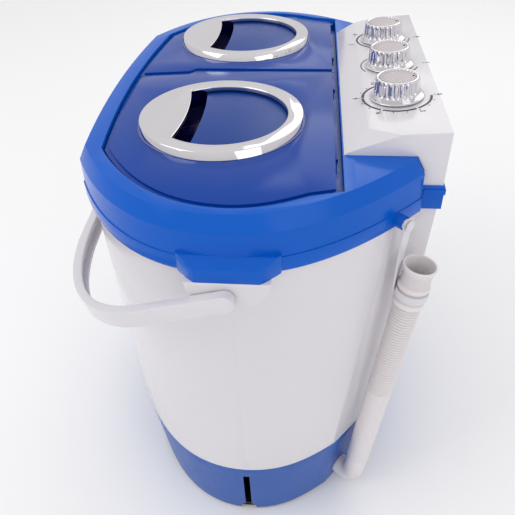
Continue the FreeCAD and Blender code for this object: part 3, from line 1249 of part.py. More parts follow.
top_frame()
hinge_pins()
for lid_side in ("wash", "spin"):
    lid(lid_side)
    lid_ring(lid_side)
    lid_dish(lid_side)
control_panel()
for knob_name, knob_x in KNOBS:
    knob(knob_name, knob_x)
    timer_body(knob_name, knob_x)
outer_casing()
back_cover()
base_skirt()
cord_gland()
base_plate()
feet()
wash_tub()
pulsator()
pulley("pulsator_pulley", PULLEY_R, PULSATOR_SHAFT_R, PULSATOR_X, PULSATOR_Y)
pulley("motor_pulley", MOTOR_PULLEY_R, 5.0, WASH_MOTOR_X, WASH_MOTOR_Y)
belt()
wash_motor()
spin_outer_tub()
spin_parts()
drain_valve()
spin_drain_pipe()
drain_pipe()
drain_hose()
hose_strap()
carry_handle()
lint_filter()
capacitor()
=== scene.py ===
import json
import math

import bmesh
import bpy
from mathutils import Matrix, Vector


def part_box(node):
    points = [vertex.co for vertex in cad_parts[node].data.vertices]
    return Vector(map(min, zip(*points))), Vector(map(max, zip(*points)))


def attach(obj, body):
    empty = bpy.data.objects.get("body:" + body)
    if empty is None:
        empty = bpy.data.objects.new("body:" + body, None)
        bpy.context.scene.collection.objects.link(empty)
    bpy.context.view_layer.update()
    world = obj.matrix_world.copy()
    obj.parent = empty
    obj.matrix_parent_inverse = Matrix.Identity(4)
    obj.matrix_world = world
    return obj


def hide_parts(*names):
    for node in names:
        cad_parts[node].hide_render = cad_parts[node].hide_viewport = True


# Compact twin-tub washer: moulded white cabinet, blue rim and base, two hinged lids with
# plated rings, three fluted knobs on the rear panel, a swinging carry handle and a drain hose.

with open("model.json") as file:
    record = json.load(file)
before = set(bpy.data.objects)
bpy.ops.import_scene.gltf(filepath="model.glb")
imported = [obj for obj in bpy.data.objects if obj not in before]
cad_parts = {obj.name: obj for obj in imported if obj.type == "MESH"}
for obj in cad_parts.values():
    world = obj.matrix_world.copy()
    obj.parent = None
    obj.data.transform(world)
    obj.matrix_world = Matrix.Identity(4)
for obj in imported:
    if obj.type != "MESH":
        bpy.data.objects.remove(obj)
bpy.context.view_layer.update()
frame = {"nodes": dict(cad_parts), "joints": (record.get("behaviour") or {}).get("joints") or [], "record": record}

MM = 0.001
WELD = 0.003 * MM           # vertices closer than this are one
FLAT_ANGLE = 0.25           # degrees between faces that lie in one plane
NODES = frame["nodes"]
JOINTS = {joint["name"]: joint for joint in frame["joints"]}
BODIES = frame["record"]["behaviour"]["bodies"]
BODY_OF = {node: body for body, members in BODIES.items() for node in members}
SLOT_OF = {row["node"]: row["material_slot"] for row in frame["record"]["subparts"]}


# ---------------------------------------------------------------- camera, floor and light
CAMERA_PLACE = Vector((0.57858, 0.0523, 0.67598))
CAMERA_RIGHT = Vector((-0.0856248, 0.9959623, -0.0269742))
CAMERA_UP = Vector((-0.6287578, -0.0330143, 0.7769001))
CAMERA_LENS = 40.52
SENSOR = 36.0
FLOOR_REACH = 20.0


def make_camera():
    """Looks down along the long axis, from the hose end."""
    data = bpy.data.cameras.new("camera")
    data.sensor_width = SENSOR
    data.lens = CAMERA_LENS
    data.clip_start = 0.01
    data.clip_end = 50.0
    camera = bpy.data.objects.new("camera", data)
    back = CAMERA_RIGHT.cross(CAMERA_UP)
    turn = Matrix((CAMERA_RIGHT, CAMERA_UP, back)).transposed()
    camera.matrix_world = Matrix.Translation(CAMERA_PLACE) @ turn.to_4x4()
    bpy.context.scene.collection.objects.link(camera)
    bpy.context.scene.camera = camera


def softbox(name, place, target, size, power, tint=(1.0, 1.0, 1.0)):
    data = bpy.data.lights.new(name, "AREA")
    data.shape = "RECTANGLE"
    data.size, data.size_y = size
    data.energy = power
    data.color = tint
    light = bpy.data.objects.new(name, data)
    light.location = place
    light.rotation_euler = (Vector(target) - Vector(place)).to_track_quat("-Z", "Y").to_euler()
    bpy.context.scene.collection.objects.link(light)


def make_studio():
    """Pale floor, a bright room with a dimmer horizon, and three soft boxes."""
    mesh = bpy.data.meshes.new("floor")
    mesh.from_pydata([(-FLOOR_REACH, -FLOOR_REACH, 0), (FLOOR_REACH, -FLOOR_REACH, 0),
                      (FLOOR_REACH, FLOOR_REACH, 0), (-FLOOR_REACH, FLOOR_REACH, 0)],
                     [], [(0, 1, 2, 3)])
    floor = bpy.data.objects.new("floor", mesh)
    bpy.context.scene.collection.objects.link(floor)
    material, shader, _, _ = plain_material("pale_floor")
    shader.inputs["Base Color"].default_value = (0.93, 0.93, 0.94, 1)
    shader.inputs["Roughness"].default_value = 0.75
    mesh.materials.append(material)

    middle = (0.0, 0.0, 0.3)
    softbox("key_light", (0.7, -1.5, 1.7), middle, (1.3, 1.3), 9.0, (1.0, 0.985, 0.97))
    softbox("fill_light", (1.6, 1.3, 1.0), middle, (1.2, 1.2), 4.0, (1.0, 0.97, 0.98))
    softbox("back_light", (-1.6, 0.6, 1.6), middle, (1.4, 0.9), 5.0)

    world = bpy.data.worlds.new("studio")
    bpy.context.scene.world = world
    world.use_nodes = True
    nodes, links = world.node_tree.nodes, world.node_tree.links
    room = nodes["Background"]
    coordinates = nodes.new("ShaderNodeTexCoord")
    split = nodes.new("ShaderNodeSeparateXYZ")
    ramp = nodes.new("ShaderNodeValToRGB")
    ramp.color_ramp.elements[0].position = 0.42
    ramp.color_ramp.elements[0].color = (0.80, 0.79, 0.81, 1)
    ramp.color_ramp.elements[1].position = 0.78
    ramp.color_ramp.elements[1].color = (1.0, 1.0, 1.0, 1)
    shift = nodes.new("ShaderNodeMapRange")
    shift.inputs["From Min"].default_value = -1.0
    links.new(coordinates.outputs["Generated"], split.inputs[0])
    links.new(split.outputs["Z"], shift.inputs["Value"])
    links.new(shift.outputs["Result"], ramp.inputs["Fac"])
    links.new(ramp.outputs["Color"], room.inputs["Color"])
    room.inputs["Strength"].default_value = 0.86
    seen = nodes.new("ShaderNodeBackground")
    seen.inputs["Color"].default_value = (1, 1, 1, 1)
    path = nodes.new("ShaderNodeLightPath")
    mix = nodes.new("ShaderNodeMixShader")
    links.new(path.outputs["Is Camera Ray"], mix.inputs["Fac"])
    links.new(room.outputs[0], mix.inputs[1])
    links.new(seen.outputs[0], mix.inputs[2])
    links.new(mix.outputs[0], nodes["World Output"].inputs["Surface"])
    bpy.context.scene.view_settings.view_transform = "Standard"


# ---------------------------------------------------------------- materials
def plain_material(name):
    material = bpy.data.materials.new(name)
    material.use_nodes = True
    tree = material.node_tree
    return material, tree.nodes["Principled BSDF"], tree.nodes, tree.links


def object_coordinates(nodes, links, turn=0.0, stretch=(1, 1, 1)):
    source = nodes.new("ShaderNodeTexCoord")
    mapping = nodes.new("ShaderNodeMapping")
    mapping.inputs["Rotation"].default_value = (0, 0, turn)
    mapping.inputs["Scale"].default_value = stretch
    links.new(source.outputs["Object"], mapping.inputs["Vector"])
    return mapping.outputs["Vector"]


def noise(nodes, links, where, scale, detail=2.0, roughness=0.5):
    texture = nodes.new("ShaderNodeTexNoise")
    texture.inputs["Scale"].default_value = scale
    texture.inputs["Detail"].default_value = detail
    texture.inputs["Roughness"].default_value = roughness
    links.new(where, texture.inputs["Vector"])
    return texture.outputs["Fac"]


def spread(nodes, links, value, low, high):
    """Maps a 0 to 1 pattern to a range."""
    node = nodes.new("ShaderNodeMapRange")
    node.inputs["From Min"].default_value = 0.25
    node.inputs["From Max"].default_value = 0.75
    node.inputs["To Min"].default_value = low
    node.inputs["To Max"].default_value = high
    links.new(value, node.inputs["Value"])
    return node.outputs["Result"]


def two_tone(nodes, links, value, first, second):
    node = nodes.new("ShaderNodeMix")
    node.data_type = "RGBA"
    node.inputs[6].default_value = (*first, 1)
    node.inputs[7].default_value = (*second, 1)
    links.new(value, node.inputs[0])
    return node.outputs[2]


def relief(nodes, links, shader, layers):
    """Chains bump layers, given as (pattern, depth in metres), into the shader's normal."""
    normal = None
    for pattern, depth in layers:
        bump = nodes.new("ShaderNodeBump")
        bump.inputs["Distance"].default_value = depth
        bump.inputs["Strength"].default_value = 1.0
        links.new(pattern, bump.inputs["Height"])
        if normal is not None:
            links.new(normal, bump.inputs["Normal"])
        normal = bump.outputs["Normal"]
    links.new(normal, shader.inputs["Normal"])


def moulded(name, shade, deep, gloss, grain=0.00003, coat=0.0, translucent=0.0, specular=0.5):
    """Injection-moulded plastic: flow clouds in the colour, a fine surface grain, scuffed gloss."""
    material, shader, nodes, links = plain_material(name)
    where = object_coordinates(nodes, links)
    cloud = noise(nodes, links, where, 9.0, 3.0)
    fine = noise(nodes, links, where, 1400.0, 1.0)
    wave = noise(nodes, links, where, 45.0, 2.0)
    links.new(two_tone(nodes, links, cloud, shade, deep), shader.inputs["Base Color"])
    scuff = noise(nodes, links, where, 70.0, 6.0, 0.65)
    links.new(spread(nodes, links, scuff, gloss * 0.85, gloss * 1.2), shader.inputs["Roughness"])
    relief(nodes, links, shader, [(wave, grain * 4), (fine, grain)])
    shader.inputs["Specular IOR Level"].default_value = specular
    shader.inputs["Coat Weight"].default_value = coat
    shader.inputs["Coat Roughness"].default_value = 0.06
    if translucent:
        shader.inputs["Subsurface Weight"].default_value = translucent
        shader.inputs["Subsurface Radius"].default_value = (1.0, 0.9, 0.85)
        shader.inputs["Subsurface Scale"].default_value = 0.006
    return material


def ribbed_hose():
    """Milky pink-white hose, with painted shade darkening it where the corrugation dips."""
    material = moulded("hose_plastic", (0.80, 0.765, 0.775), (0.76, 0.72, 0.735), 0.3, translucent=0.06)
    nodes, links = material.node_tree.nodes, material.node_tree.links
    shader = nodes["Principled BSDF"]
    cloud = shader.inputs["Base Color"].links[0].from_socket
    # Painted shade: low pointiness in the concave grooves mixes in a darker grey-pink.
    dip = nodes.new("ShaderNodeMapRange")
    dip.inputs["From Min"].default_value = 0.46
    dip.inputs["From Max"].default_value = 0.53
    links.new(nodes.new("ShaderNodeNewGeometry").outputs["Pointiness"], dip.inputs["Value"])
    mix = nodes.new("ShaderNodeMix")
    mix.data_type = "RGBA"
    mix.inputs[6].default_value = (0.58, 0.54, 0.55, 1)
    links.new(cloud, mix.inputs[7])
    links.new(dip.outputs["Result"], mix.inputs[0])
    links.new(mix.outputs[2], shader.inputs["Base Color"])
    return material


def plated(name):
    """Bright plating over plastic, with faint ripples and a little haze."""
    material, shader, nodes, links = plain_material(name)
    where = object_coordinates(nodes, links)
    shader.inputs["Metallic"].default_value = 1.0
    haze = noise(nodes, links, where, 60.0, 5.0, 0.6)
    links.new(spread(nodes, links, haze, 0.035, 0.09), shader.inputs["Roughness"])
    tone = noise(nodes, links, where, 14.0)
    links.new(two_tone(nodes, links, tone, (0.76, 0.74, 0.76), (0.68, 0.66, 0.69)),
              shader.inputs["Base Color"])
    relief(nodes, links, shader, [(noise(nodes, links, where, 28.0), 0.00012)])
    return material


def frosted_disc():
    """Silver knob insert with fine diagonal lines."""
    material, shader, nodes, links = plain_material("frosted_disc")
    where = object_coordinates(nodes, links, turn=math.radians(52))
    lines = nodes.new("ShaderNodeTexWave")
    lines.bands_direction = "X"
    lines.inputs["Scale"].default_value = 110.0
    lines.inputs["Distortion"].default_value = 0.0
    links.new(where, lines.inputs["Vector"])
    pattern = lines.outputs["Fac"]
    links.new(two_tone(nodes, links, pattern, (0.34, 0.30, 0.31), (0.62, 0.57, 0.59)),
              shader.inputs["Base Color"])
    shader.inputs["Metallic"].default_value = 0.35
    grit = noise(nodes, links, where, 2600.0, 1.0)
    links.new(spread(nodes, links, pattern, 0.34, 0.48), shader.inputs["Roughness"])
    relief(nodes, links, shader, [(pattern, 0.00012), (grit, 0.00004)])
    return material


def turned_metal(name, light, dark, gloss):
    """Machined or pressed metal with fine lines round the axis."""
    material, shader, nodes, links = plain_material(name)
    where = object_coordinates(nodes, links, stretch=(1, 1, 12))
    streak = noise(nodes, links, where, 260.0, 4.0, 0.6)
    shader.inputs["Metallic"].default_value = 1.0
    links.new(two_tone(nodes, links, streak, light, dark), shader.inputs["Base Color"])
    links.new(spread(nodes, links, streak, gloss * 0.8, gloss * 1.3), shader.inputs["Roughness"])
    relief(nodes, links, shader, [(streak, 0.00003)])
    return material


def enamel(name, light, dark):
    """Baked enamel with orange peel on pressed steel."""
    material, shader, nodes, links = plain_material(name)
    where = object_coordinates(nodes, links)
    peel = noise(nodes, links, where, 420.0, 2.0)
    links.new(two_tone(nodes, links, peel, light, dark), shader.inputs["Base Color"])
    links.new(spread(nodes, links, noise(nodes, links, where, 80.0, 5.0), 0.3, 0.5),
              shader.inputs["Roughness"])
    relief(nodes, links, shader, [(peel, 0.0001)])
    return material


def rubbery(name, light, dark):
    """Matt rubber with a powdery bloom."""
    material, shader, nodes, links = plain_material(name)
    where = object_coordinates(nodes, links)
    bloom = noise(nodes, links, where, 120.0, 6.0, 0.7)
    links.new(two_tone(nodes, links, bloom, light, dark), shader.inputs["Base Color"])
    links.new(spread(nodes, links, bloom, 0.6, 0.85), shader.inputs["Roughness"])
    relief(nodes, links, shader, [(noise(nodes, links, where, 900.0), 0.00008)])
    return material


def printed_ink():
    material, shader, nodes, links = plain_material("printed_ink")
    where = object_coordinates(nodes, links)
    patchy = noise(nodes, links, where, 700.0, 3.0)
    links.new(two_tone(nodes, links, patchy, (0.003, 0.004, 0.030), (0.008, 0.010, 0.050)),
              shader.inputs["Base Color"])
    links.new(spread(nodes, links, patchy, 0.35, 0.5), shader.inputs["Roughness"])
    return material


FINISH = {
    "white_casing": moulded("white_casing", (0.72, 0.70, 0.735), (0.69, 0.67, 0.70), 0.2, coat=0.12),
    "white_trim": moulded("white_trim", (0.71, 0.69, 0.72), (0.67, 0.65, 0.68), 0.33),
    "blue_rim": moulded("blue_rim", (0.0008, 0.112, 0.58), (0.0006, 0.096, 0.51), 0.17, specular=0.2),
    "blue_base": moulded("blue_base", (0.030, 0.110, 0.42), (0.024, 0.092, 0.37), 0.36, specular=0.3),
    "blue_lid": moulded("blue_lid", (0.0006, 0.052, 0.35), (0.0004, 0.043, 0.30), 0.12, specular=0.2),
    "blue_insert": moulded("blue_insert", (0.0012, 0.046, 0.28), (0.001, 0.039, 0.24), 0.3,
                           grain=0.00005, specular=0.24),
    # Painted shade: near-black blue standing in for the shade inside the lid's finger pocket.
    "pocket_painted_shade": moulded("pocket_painted_shade", (0.0006, 0.0012, 0.05), (0.0006, 0.001, 0.035), 0.14,
                           specular=0.3),
    "chrome": plated("chrome"),
    "knob_disc": frosted_disc(),
    "steel": turned_metal("steel", (0.6, 0.6, 0.62), (0.45, 0.45, 0.47), 0.3),
    "motor_paint": enamel("motor_paint", (0.05, 0.05, 0.055), (0.03, 0.03, 0.034)),
    "galvanised": turned_metal("galvanised", (0.66, 0.67, 0.69), (0.5, 0.51, 0.53), 0.42),
    "tub_plastic": moulded("tub_plastic", (0.76, 0.77, 0.79), (0.71, 0.72, 0.75), 0.36),
    "grey_plastic": moulded("grey_plastic", (0.30, 0.31, 0.33), (0.25, 0.26, 0.28), 0.42),
    "black_plastic": moulded("black_plastic", (0.022, 0.022, 0.025), (0.014, 0.014, 0.016), 0.4),
    "rubber": rubbery("rubber", (0.03, 0.03, 0.031), (0.018, 0.018, 0.019)),
    "hose_plastic": ribbed_hose(),
    "ink": printed_ink(),
}


# Pieces whose shallow creases have to stay crisp: bevel limit and shading limit in degrees
FINE_EDGES = {"top_frame": (18.0, 24.0), "control_panel": (16.0, 24.0), "base_skirt": (20.0, 30.0)}


# ---------------------------------------------------------------- mesh helpers
def new_piece(name, mesh, body, slot, material=None, replaces=()):
    """Links a finished mesh as a piece, gives it its finish and lets it ride on its body."""
    piece = bpy.data.objects.new(name, mesh)
    bpy.context.scene.collection.objects.link(piece)
    if not mesh.materials:
        mesh.materials.append(material or FINISH[slot])
    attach(piece, body)
    if replaces:
        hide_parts(*replaces)
    return piece


def mesh_from(name, points, faces, smooth_below=None):
    mesh = bpy.data.meshes.new(name)
    mesh.from_pydata([tuple(p) for p in points], [], faces)
    mesh.validate()
    soften(mesh, smooth_below)
    return mesh


def soften(mesh, sharp_angle=None):
    """Smooth shading, with edges steeper than the given angle left crisp."""
    mesh.polygons.foreach_set("use_smooth", [True] * len(mesh.polygons))
    if sharp_angle:
        mesh.set_sharp_from_angle(angle=math.radians(sharp_angle))
    mesh.update()


def baked_mesh(piece):
    """The piece's mesh with its modifiers worked in."""
    bpy.context.view_layer.update()
    graph = bpy.context.evaluated_depsgraph_get()
    return bpy.data.meshes.new_from_object(piece.evaluated_get(graph), depsgraph=graph)


def welded_copy(node):
    """A CAD piece's mesh with its loose triangles joined and its flats cleaned up."""
    source = NODES[node].data
    work = bmesh.new()
    work.from_mesh(source)
    bmesh.ops.remove_doubles(work, verts=work.verts, dist=WELD)
    bmesh.ops.dissolve_limit(work, angle_limit=math.radians(FLAT_ANGLE), verts=work.verts,
                             edges=work.edges)
    points = [tuple(v.co) for v in work.verts]
    place = {v: i for i, v in enumerate(work.verts)}
    faces = [[place[v] for v in face.verts] for face in work.faces]
    work.free()
    mesh = bpy.data.meshes.new(node)
    mesh.from_pydata(points, [], faces)
    mesh.validate()
    return mesh


def rounded(name, mesh, width, steps=2, angle=30.0, crisp=38.0):
    """Rounds the mesh's edges and returns the result as a plain mesh."""
    work = bpy.data.objects.new(name, mesh)
    bpy.context.scene.collection.objects.link(work)
    edge = work.modifiers.new("edges", "BEVEL")
    edge.width = width
    edge.segments = steps
    edge.limit_method = "ANGLE"
    edge.angle_limit = math.radians(angle)
    edge.use_clamp_overlap = True
    result = baked_mesh(work)
    result.name = name
    bpy.data.objects.remove(work)
    bpy.data.meshes.remove(mesh)
    soften(result, crisp)
    return result


def finished_copy(node, width, steps=2, material=None):
    """Stands for a CAD piece with the same shape, softened edges and smooth curves."""
    angle, crisp = FINE_EDGES.get(node, (30.0, 38.0))
    mesh = rounded(node + "_finished", welded_copy(node), width, steps, angle, crisp)
    return new_piece(node + "_shell", mesh, BODY_OF[node], SLOT_OF[node], material, replaces=(node,))


def lathe(profile, steps, wobble=None):
    """Closed solid about Z; the profile runs from the axis below to the axis above."""
    points, faces = [], []
    rings = []
    for radius, height in profile:
        if radius < 1e-9:
            rings.append([len(points)] * steps)
            points.append((0, 0, height))
            continue
        ring = []
        for step in range(steps):
            angle = 2 * math.pi * step / steps
            r = radius + (wobble(angle, radius, height) if wobble else 0.0)
            ring.append(len(points))
            points.append((r * math.cos(angle), r * math.sin(angle), height))
        rings.append(ring)
    for low, high in zip(rings, rings[1:]):
        for step in range(steps):
            after = (step + 1) % steps
            face = [low[step], low[after], high[after], high[step]]
            face = list(dict.fromkeys(face))
            if len(face) > 2:
                faces.append(face)
    return points, faces


# ---------------------------------------------------------------- geometry node helpers
def new_tree(name, inputs):
    """A geometry node tree with named inputs, given as (label, kind, value)."""
    tree = bpy.data.node_groups.new(name, "GeometryNodeTree")
    tree.interface.new_socket("Geometry", in_out="INPUT", socket_type="NodeSocketGeometry")
    for label, kind, value in inputs:
        socket = tree.interface.new_socket(label, in_out="INPUT", socket_type="NodeSocket" + kind)
        if value is not None:
            socket.default_value = value
    tree.interface.new_socket("Geometry", in_out="OUTPUT", socket_type="NodeSocketGeometry")
    start = tree.nodes.new("NodeGroupInput")
    end = tree.nodes.new("NodeGroupOutput")
    return tree, start, end


def run_tree(carrier, tree, values):
    """Runs the tree on the carrier object and returns a plain mesh."""
    modifier = carrier.modifiers.new(tree.name, "NODES")
    modifier.node_group = tree
    identifiers = {item.name: item.identifier for item in tree.interface.items_tree
                   if item.item_type == "SOCKET" and item.in_out == "INPUT"}
    for label, value in values.items():
        modifier[identifiers[label]] = value
    mesh = baked_mesh(carrier)
    carrier.modifiers.remove(modifier)
    return mesh


def carrier_of_points(name, points):
    mesh = bpy.data.meshes.new(name)
    mesh.from_pydata([tuple(p) for p in points], [], [])
    carrier = bpy.data.objects.new(name, mesh)
    bpy.context.scene.collection.objects.link(carrier)
    return carrier


def math_node(tree, operation, *values):
    node = tree.nodes.new("ShaderNodeMath")
    node.operation = operation
    for socket, value in zip(node.inputs, values):
        if isinstance(value, (int, float)):
            socket.default_value = value
        else:
            tree.links.new(value, socket)
    return node.outputs[0]


# ---------------------------------------------------------------- drain hose
HOSE_POINTS = [(0.185, 0.121, 0.062), (0.184, 0.134, 0.190), (0.181, 0.147, 0.306)]
HOSE_RADIUS = 0.013
HOSE_RIDGE = 0.0015
HOSE_PITCH = 0.0034
HOSE_SMOOTH = 0.122         # plain sleeve at the lower end


def hose_tree():
    """Sweeps a round tube whose radius ripples beyond its plain sleeve."""
    tree, start, end = new_tree("corrugated_tube", [
        ("Radius", "Float", HOSE_RADIUS), ("Ridge", "Float", HOSE_RIDGE), ("Pitch", "Float", HOSE_PITCH),
        ("Smooth Length", "Float", HOSE_SMOOTH), ("Steps", "Int", 900), ("Sides", "Int", 40),
        ("Finish", "Material", None)])
    nodes, links = tree.nodes, tree.links
    resample = nodes.new("GeometryNodeResampleCurve")
    links.new(start.outputs["Geometry"], resample.inputs["Curve"])
    links.new(start.outputs["Steps"], resample.inputs["Count"])
    along = nodes.new("GeometryNodeSplineParameter").outputs["Length"]
    turns = math_node(tree, "DIVIDE", along, start.outputs["Pitch"])
    wave = math_node(tree, "COSINE", math_node(tree, "MULTIPLY", turns, 2 * math.pi))
    dip = math_node(tree, "MULTIPLY", math_node(tree, "SUBTRACT", 1.0, wave), 0.5)
    ridged = math_node(tree, "GREATER_THAN", along, start.outputs["Smooth Length"])
    depth = math_node(tree, "MULTIPLY", math_node(tree, "MULTIPLY", dip, ridged), start.outputs["Ridge"])
    radius = math_node(tree, "SUBTRACT", start.outputs["Radius"], depth)
    set_radius = nodes.new("GeometryNodeSetCurveRadius")
    links.new(resample.outputs["Curve"], set_radius.inputs["Curve"])
    links.new(radius, set_radius.inputs["Radius"])
    circle = nodes.new("GeometryNodeCurvePrimitiveCircle")
    circle.inputs["Radius"].default_value = 1.0
    links.new(start.outputs["Sides"], circle.inputs["Resolution"])
    tube = nodes.new("GeometryNodeCurveToMesh")
    links.new(set_radius.outputs["Curve"], tube.inputs["Curve"])
    links.new(circle.outputs["Curve"], tube.inputs["Profile Curve"])
    tube.inputs["Fill Caps"].default_value = True
    if "Scale" in tube.inputs:
        links.new(nodes.new("GeometryNodeInputRadius").outputs[0], tube.inputs["Scale"])
    finish(tree, tube.outputs["Mesh"], start, end)
    return tree


def finish(tree, geometry, start, end):
    """Realizes instances and sets the finish, as the last steps of a tree."""
    nodes, links = tree.nodes, tree.links
    realize = nodes.new("GeometryNodeRealizeInstances")
    paint = nodes.new("GeometryNodeSetMaterial")
    links.new(geometry, realize.inputs["Geometry"])
    links.new(realize.outputs["Geometry"], paint.inputs["Geometry"])
    links.new(start.outputs["Finish"], paint.inputs["Material"])
    links.new(paint.outputs["Geometry"], end.inputs["Geometry"])


def drain_hose():
    data = bpy.data.curves.new("hose_line", "CURVE")
    data.dimensions = "3D"
    spline = data.splines.new("NURBS")
    spline.points.add(len(HOSE_POINTS) - 1)
    for point, place in zip(spline.points, HOSE_POINTS):
        point.co = (*place, 1.0)
    spline.order_u = 3
    spline.use_endpoint_u = True
    spline.resolution_u = 24
    line = bpy.data.objects.new("hose_line", data)
    bpy.context.scene.collection.objects.link(line)
    path_mesh = baked_mesh(line)
    mesh = run_tree(line, hose_tree(), {"Finish": FINISH["hose_plastic"]})
    bpy.data.objects.remove(line)
    bpy.data.meshes.remove(path_mesh)
    soften(mesh, 60.0)
    hose = new_piece("drain_hose_tube", mesh, "cabinet", "hose_plastic", replaces=("drain_hose",))
    cuff = finished_copy("hose_cuff", 0.0004)


# ---------------------------------------------------------------- knobs and dials
KNOBS = ("wash_timer", "selector", "spin_timer")
FLUTES = 24
KNOB_PROFILE = [(0, 1.0), (23.4, 1.0), (23.9, 1.3), (24.0, 1.9), (23.6, 2.4), (22.9, 2.55),
                (22.7, 3.2), (22.0, 3.4), (21.8, 4.0), (21.1, 4.2), (20.9, 4.8), (20.3, 5.0), (20.1, 5.6),
                (19.95, 7.0), (19.8, 9.0), (19.6, 11.0), (19.4, 13.0),
                (19.25, 15.0), (19.1, 16.6), (18.9, 17.8), (18.5, 18.5), (17.9, 18.9), (17.2, 19.0),
                (16.6, 18.9), (16.1, 18.5), (15.85, 17.9), (15.8, 17.0), (0, 17.0)]


def knob_place(name):
    """Frame of a knob: origin on the panel face, Z out along its axis, Y towards the rear."""
    joint = JOINTS[name + "_turn"]
    out = -Vector(joint["axis"]).normalized()
    rear = Vector((1, 0, 0)).cross(out) * -1.0
    turn = Matrix((Vector((1, 0, 0)), rear, out)).transposed()
    return Matrix.Translation(Vector(joint["pos_m"])) @ turn.to_4x4()


def flute_depth(angle, radius, height):
    """Scalloped grip: deep at mid height, fading out at the shoulder and the skirt."""
    rise = min(1.0, max(0.0, (height - 0.0052) / 0.0016))
    fall = min(1.0, max(0.0, (0.0186 - height) / 0.0012))
    scallop = max(0.0, math.cos(FLUTES * angle)) ** 0.7
    return -0.00125 * scallop * rise * fall


def knob(name):
    profile = [(r * MM, z * MM) for r, z in KNOB_PROFILE]
    points, faces = lathe(profile, FLUTES * 10, flute_depth)
    mesh = mesh_from(name + "_grip", points, faces, 40.0)
    mesh.transform(knob_place(name))
    body = BODY_OF[name + "_knob"]
    new_piece(name + "_grip", mesh, body, "chrome", replaces=(name + "_knob",))
    cap = [(0, 16.8), (15.7, 16.8), (15.75, 17.6), (15.5, 18.1), (15.0, 18.35), (9.0, 18.5), (0, 18.55)]
    points, faces = lathe([(r * MM, z * MM) for r, z in cap], 96)
    mesh = mesh_from(name + "_disc", points, faces, 40.0)
    mesh.transform(knob_place(name))
    new_piece(name + "_disc", mesh, body, "knob_disc", replaces=(name + "_knob_cap",))
    dot = [(0, 18.3), (0.9, 18.3), (1.0, 18.6), (0.8, 18.75), (0, 18.8)]
    points, faces = lathe([(r * MM, z * MM) for r, z in dot], 24)
    mesh = mesh_from(name + "_pointer", points, faces, 40.0)
    mesh.transform(knob_place(name) @ Matrix.Translation((0, 0.0135, 0)))
    new_piece(name + "_pointer", mesh, body, "knob_disc", FINISH["ink"])


INK_HEIGHT = 0.00012
NUMBER_RING = 0.0368        # knob axis to the middle of a number
NUMBER_SIZE = 0.0062


def arc_band(radius, width_start, width_end, start, sweep, steps=48):
    """Flat printed arc, clockwise from the rear, as a thin raised band."""
    points, faces = [], []
    for step in range(steps + 1):
        share = step / steps
        angle = math.radians(start + sweep * share)
        half = 0.5 * (width_start + (width_end - width_start) * share)
        direction = Vector((math.sin(angle), math.cos(angle), 0))
        inner, outer = radius - half, radius + half
        for r, z in ((inner, 0.0), (outer, 0.0), (outer, INK_HEIGHT), (inner, INK_HEIGHT)):
            points.append(direction * r + Vector((0, 0, z)))
    for step in range(steps):
        a, b = 4 * step, 4 * (step + 1)
        for side in range(4):
            after = (side + 1) % 4
            faces.append([a + side, b + side, b + after, a + after])
    faces.append([0, 1, 2, 3])
    last = 4 * steps
    faces.append([last + 3, last + 2, last + 1, last])
    return points, faces


def digit_mesh(text, size, place):
    """A printed numeral lying on the panel, as a thin solid."""
    data = bpy.data.curves.new("numeral", "FONT")
    data.body = text
    data.size = size
    data.extrude = INK_HEIGHT * 0.5
    data.offset = 0.00012
    data.align_x = "CENTER"
    data.align_y = "CENTER"
    data.resolution_u = 3
    numeral = bpy.data.objects.new("numeral", data)
    bpy.context.scene.collection.objects.link(numeral)
    mesh = baked_mesh(numeral)
    bpy.data.objects.remove(numeral)
    mesh.transform(Matrix.Translation((place[0], place[1], INK_HEIGHT * 0.5)))
    return mesh


def tick_tree():
    """Small blocks round an arc of points, each turned to face the centre."""
    tree, start, end = new_tree("dial_ticks", [
        ("Count", "Int", 16), ("Radius", "Float", 0.033), ("Sweep", "Float", math.radians(300)),
        ("Length", "Float", 0.0018), ("Width", "Float", 0.0008), ("Height", "Float", INK_HEIGHT),
        ("Finish", "Material", None)])
    nodes, links = tree.nodes, tree.links
    line = nodes.new("GeometryNodeMeshLine")
    line.mode = "OFFSET"
    line.inputs["Offset"].default_value = (0, 0, 0)
    links.new(start.outputs["Count"], line.inputs["Count"])
    index = nodes.new("GeometryNodeInputIndex").outputs[0]
    gaps = math_node(tree, "SUBTRACT", start.outputs["Count"], 1.0)
    angle = math_node(tree, "MULTIPLY", math_node(tree, "DIVIDE", index, gaps), start.outputs["Sweep"])
    x = math_node(tree, "MULTIPLY", math_node(tree, "SINE", angle), start.outputs["Radius"])
    y = math_node(tree, "MULTIPLY", math_node(tree, "COSINE", angle), start.outputs["Radius"])
    place = nodes.new("ShaderNodeCombineXYZ")
    links.new(x, place.inputs[0])
    links.new(y, place.inputs[1])
    links.new(math_node(tree, "MULTIPLY", start.outputs["Height"], 0.5), place.inputs[2])
    moved = nodes.new("GeometryNodeSetPosition")
    links.new(line.outputs["Mesh"], moved.inputs["Geometry"])
    links.new(place.outputs[0], moved.inputs["Position"])
    block = nodes.new("GeometryNodeMeshCube")
    size = nodes.new("ShaderNodeCombineXYZ")
    links.new(start.outputs["Width"], size.inputs[0])
    links.new(start.outputs["Length"], size.inputs[1])
    links.new(start.outputs["Height"], size.inputs[2])
    links.new(size.outputs[0], block.inputs["Size"])
    turn = nodes.new("ShaderNodeCombineXYZ")
    links.new(math_node(tree, "MULTIPLY", angle, -1.0), turn.inputs[2])
    spots = nodes.new("GeometryNodeInstanceOnPoints")
    links.new(moved.outputs["Geometry"], spots.inputs["Points"])
    links.new(block.outputs["Mesh"], spots.inputs["Instance"])
    links.new(turn.outputs[0], spots.inputs["Rotation"])
    finish(tree, spots.outputs["Instances"], start, end)
    return tree


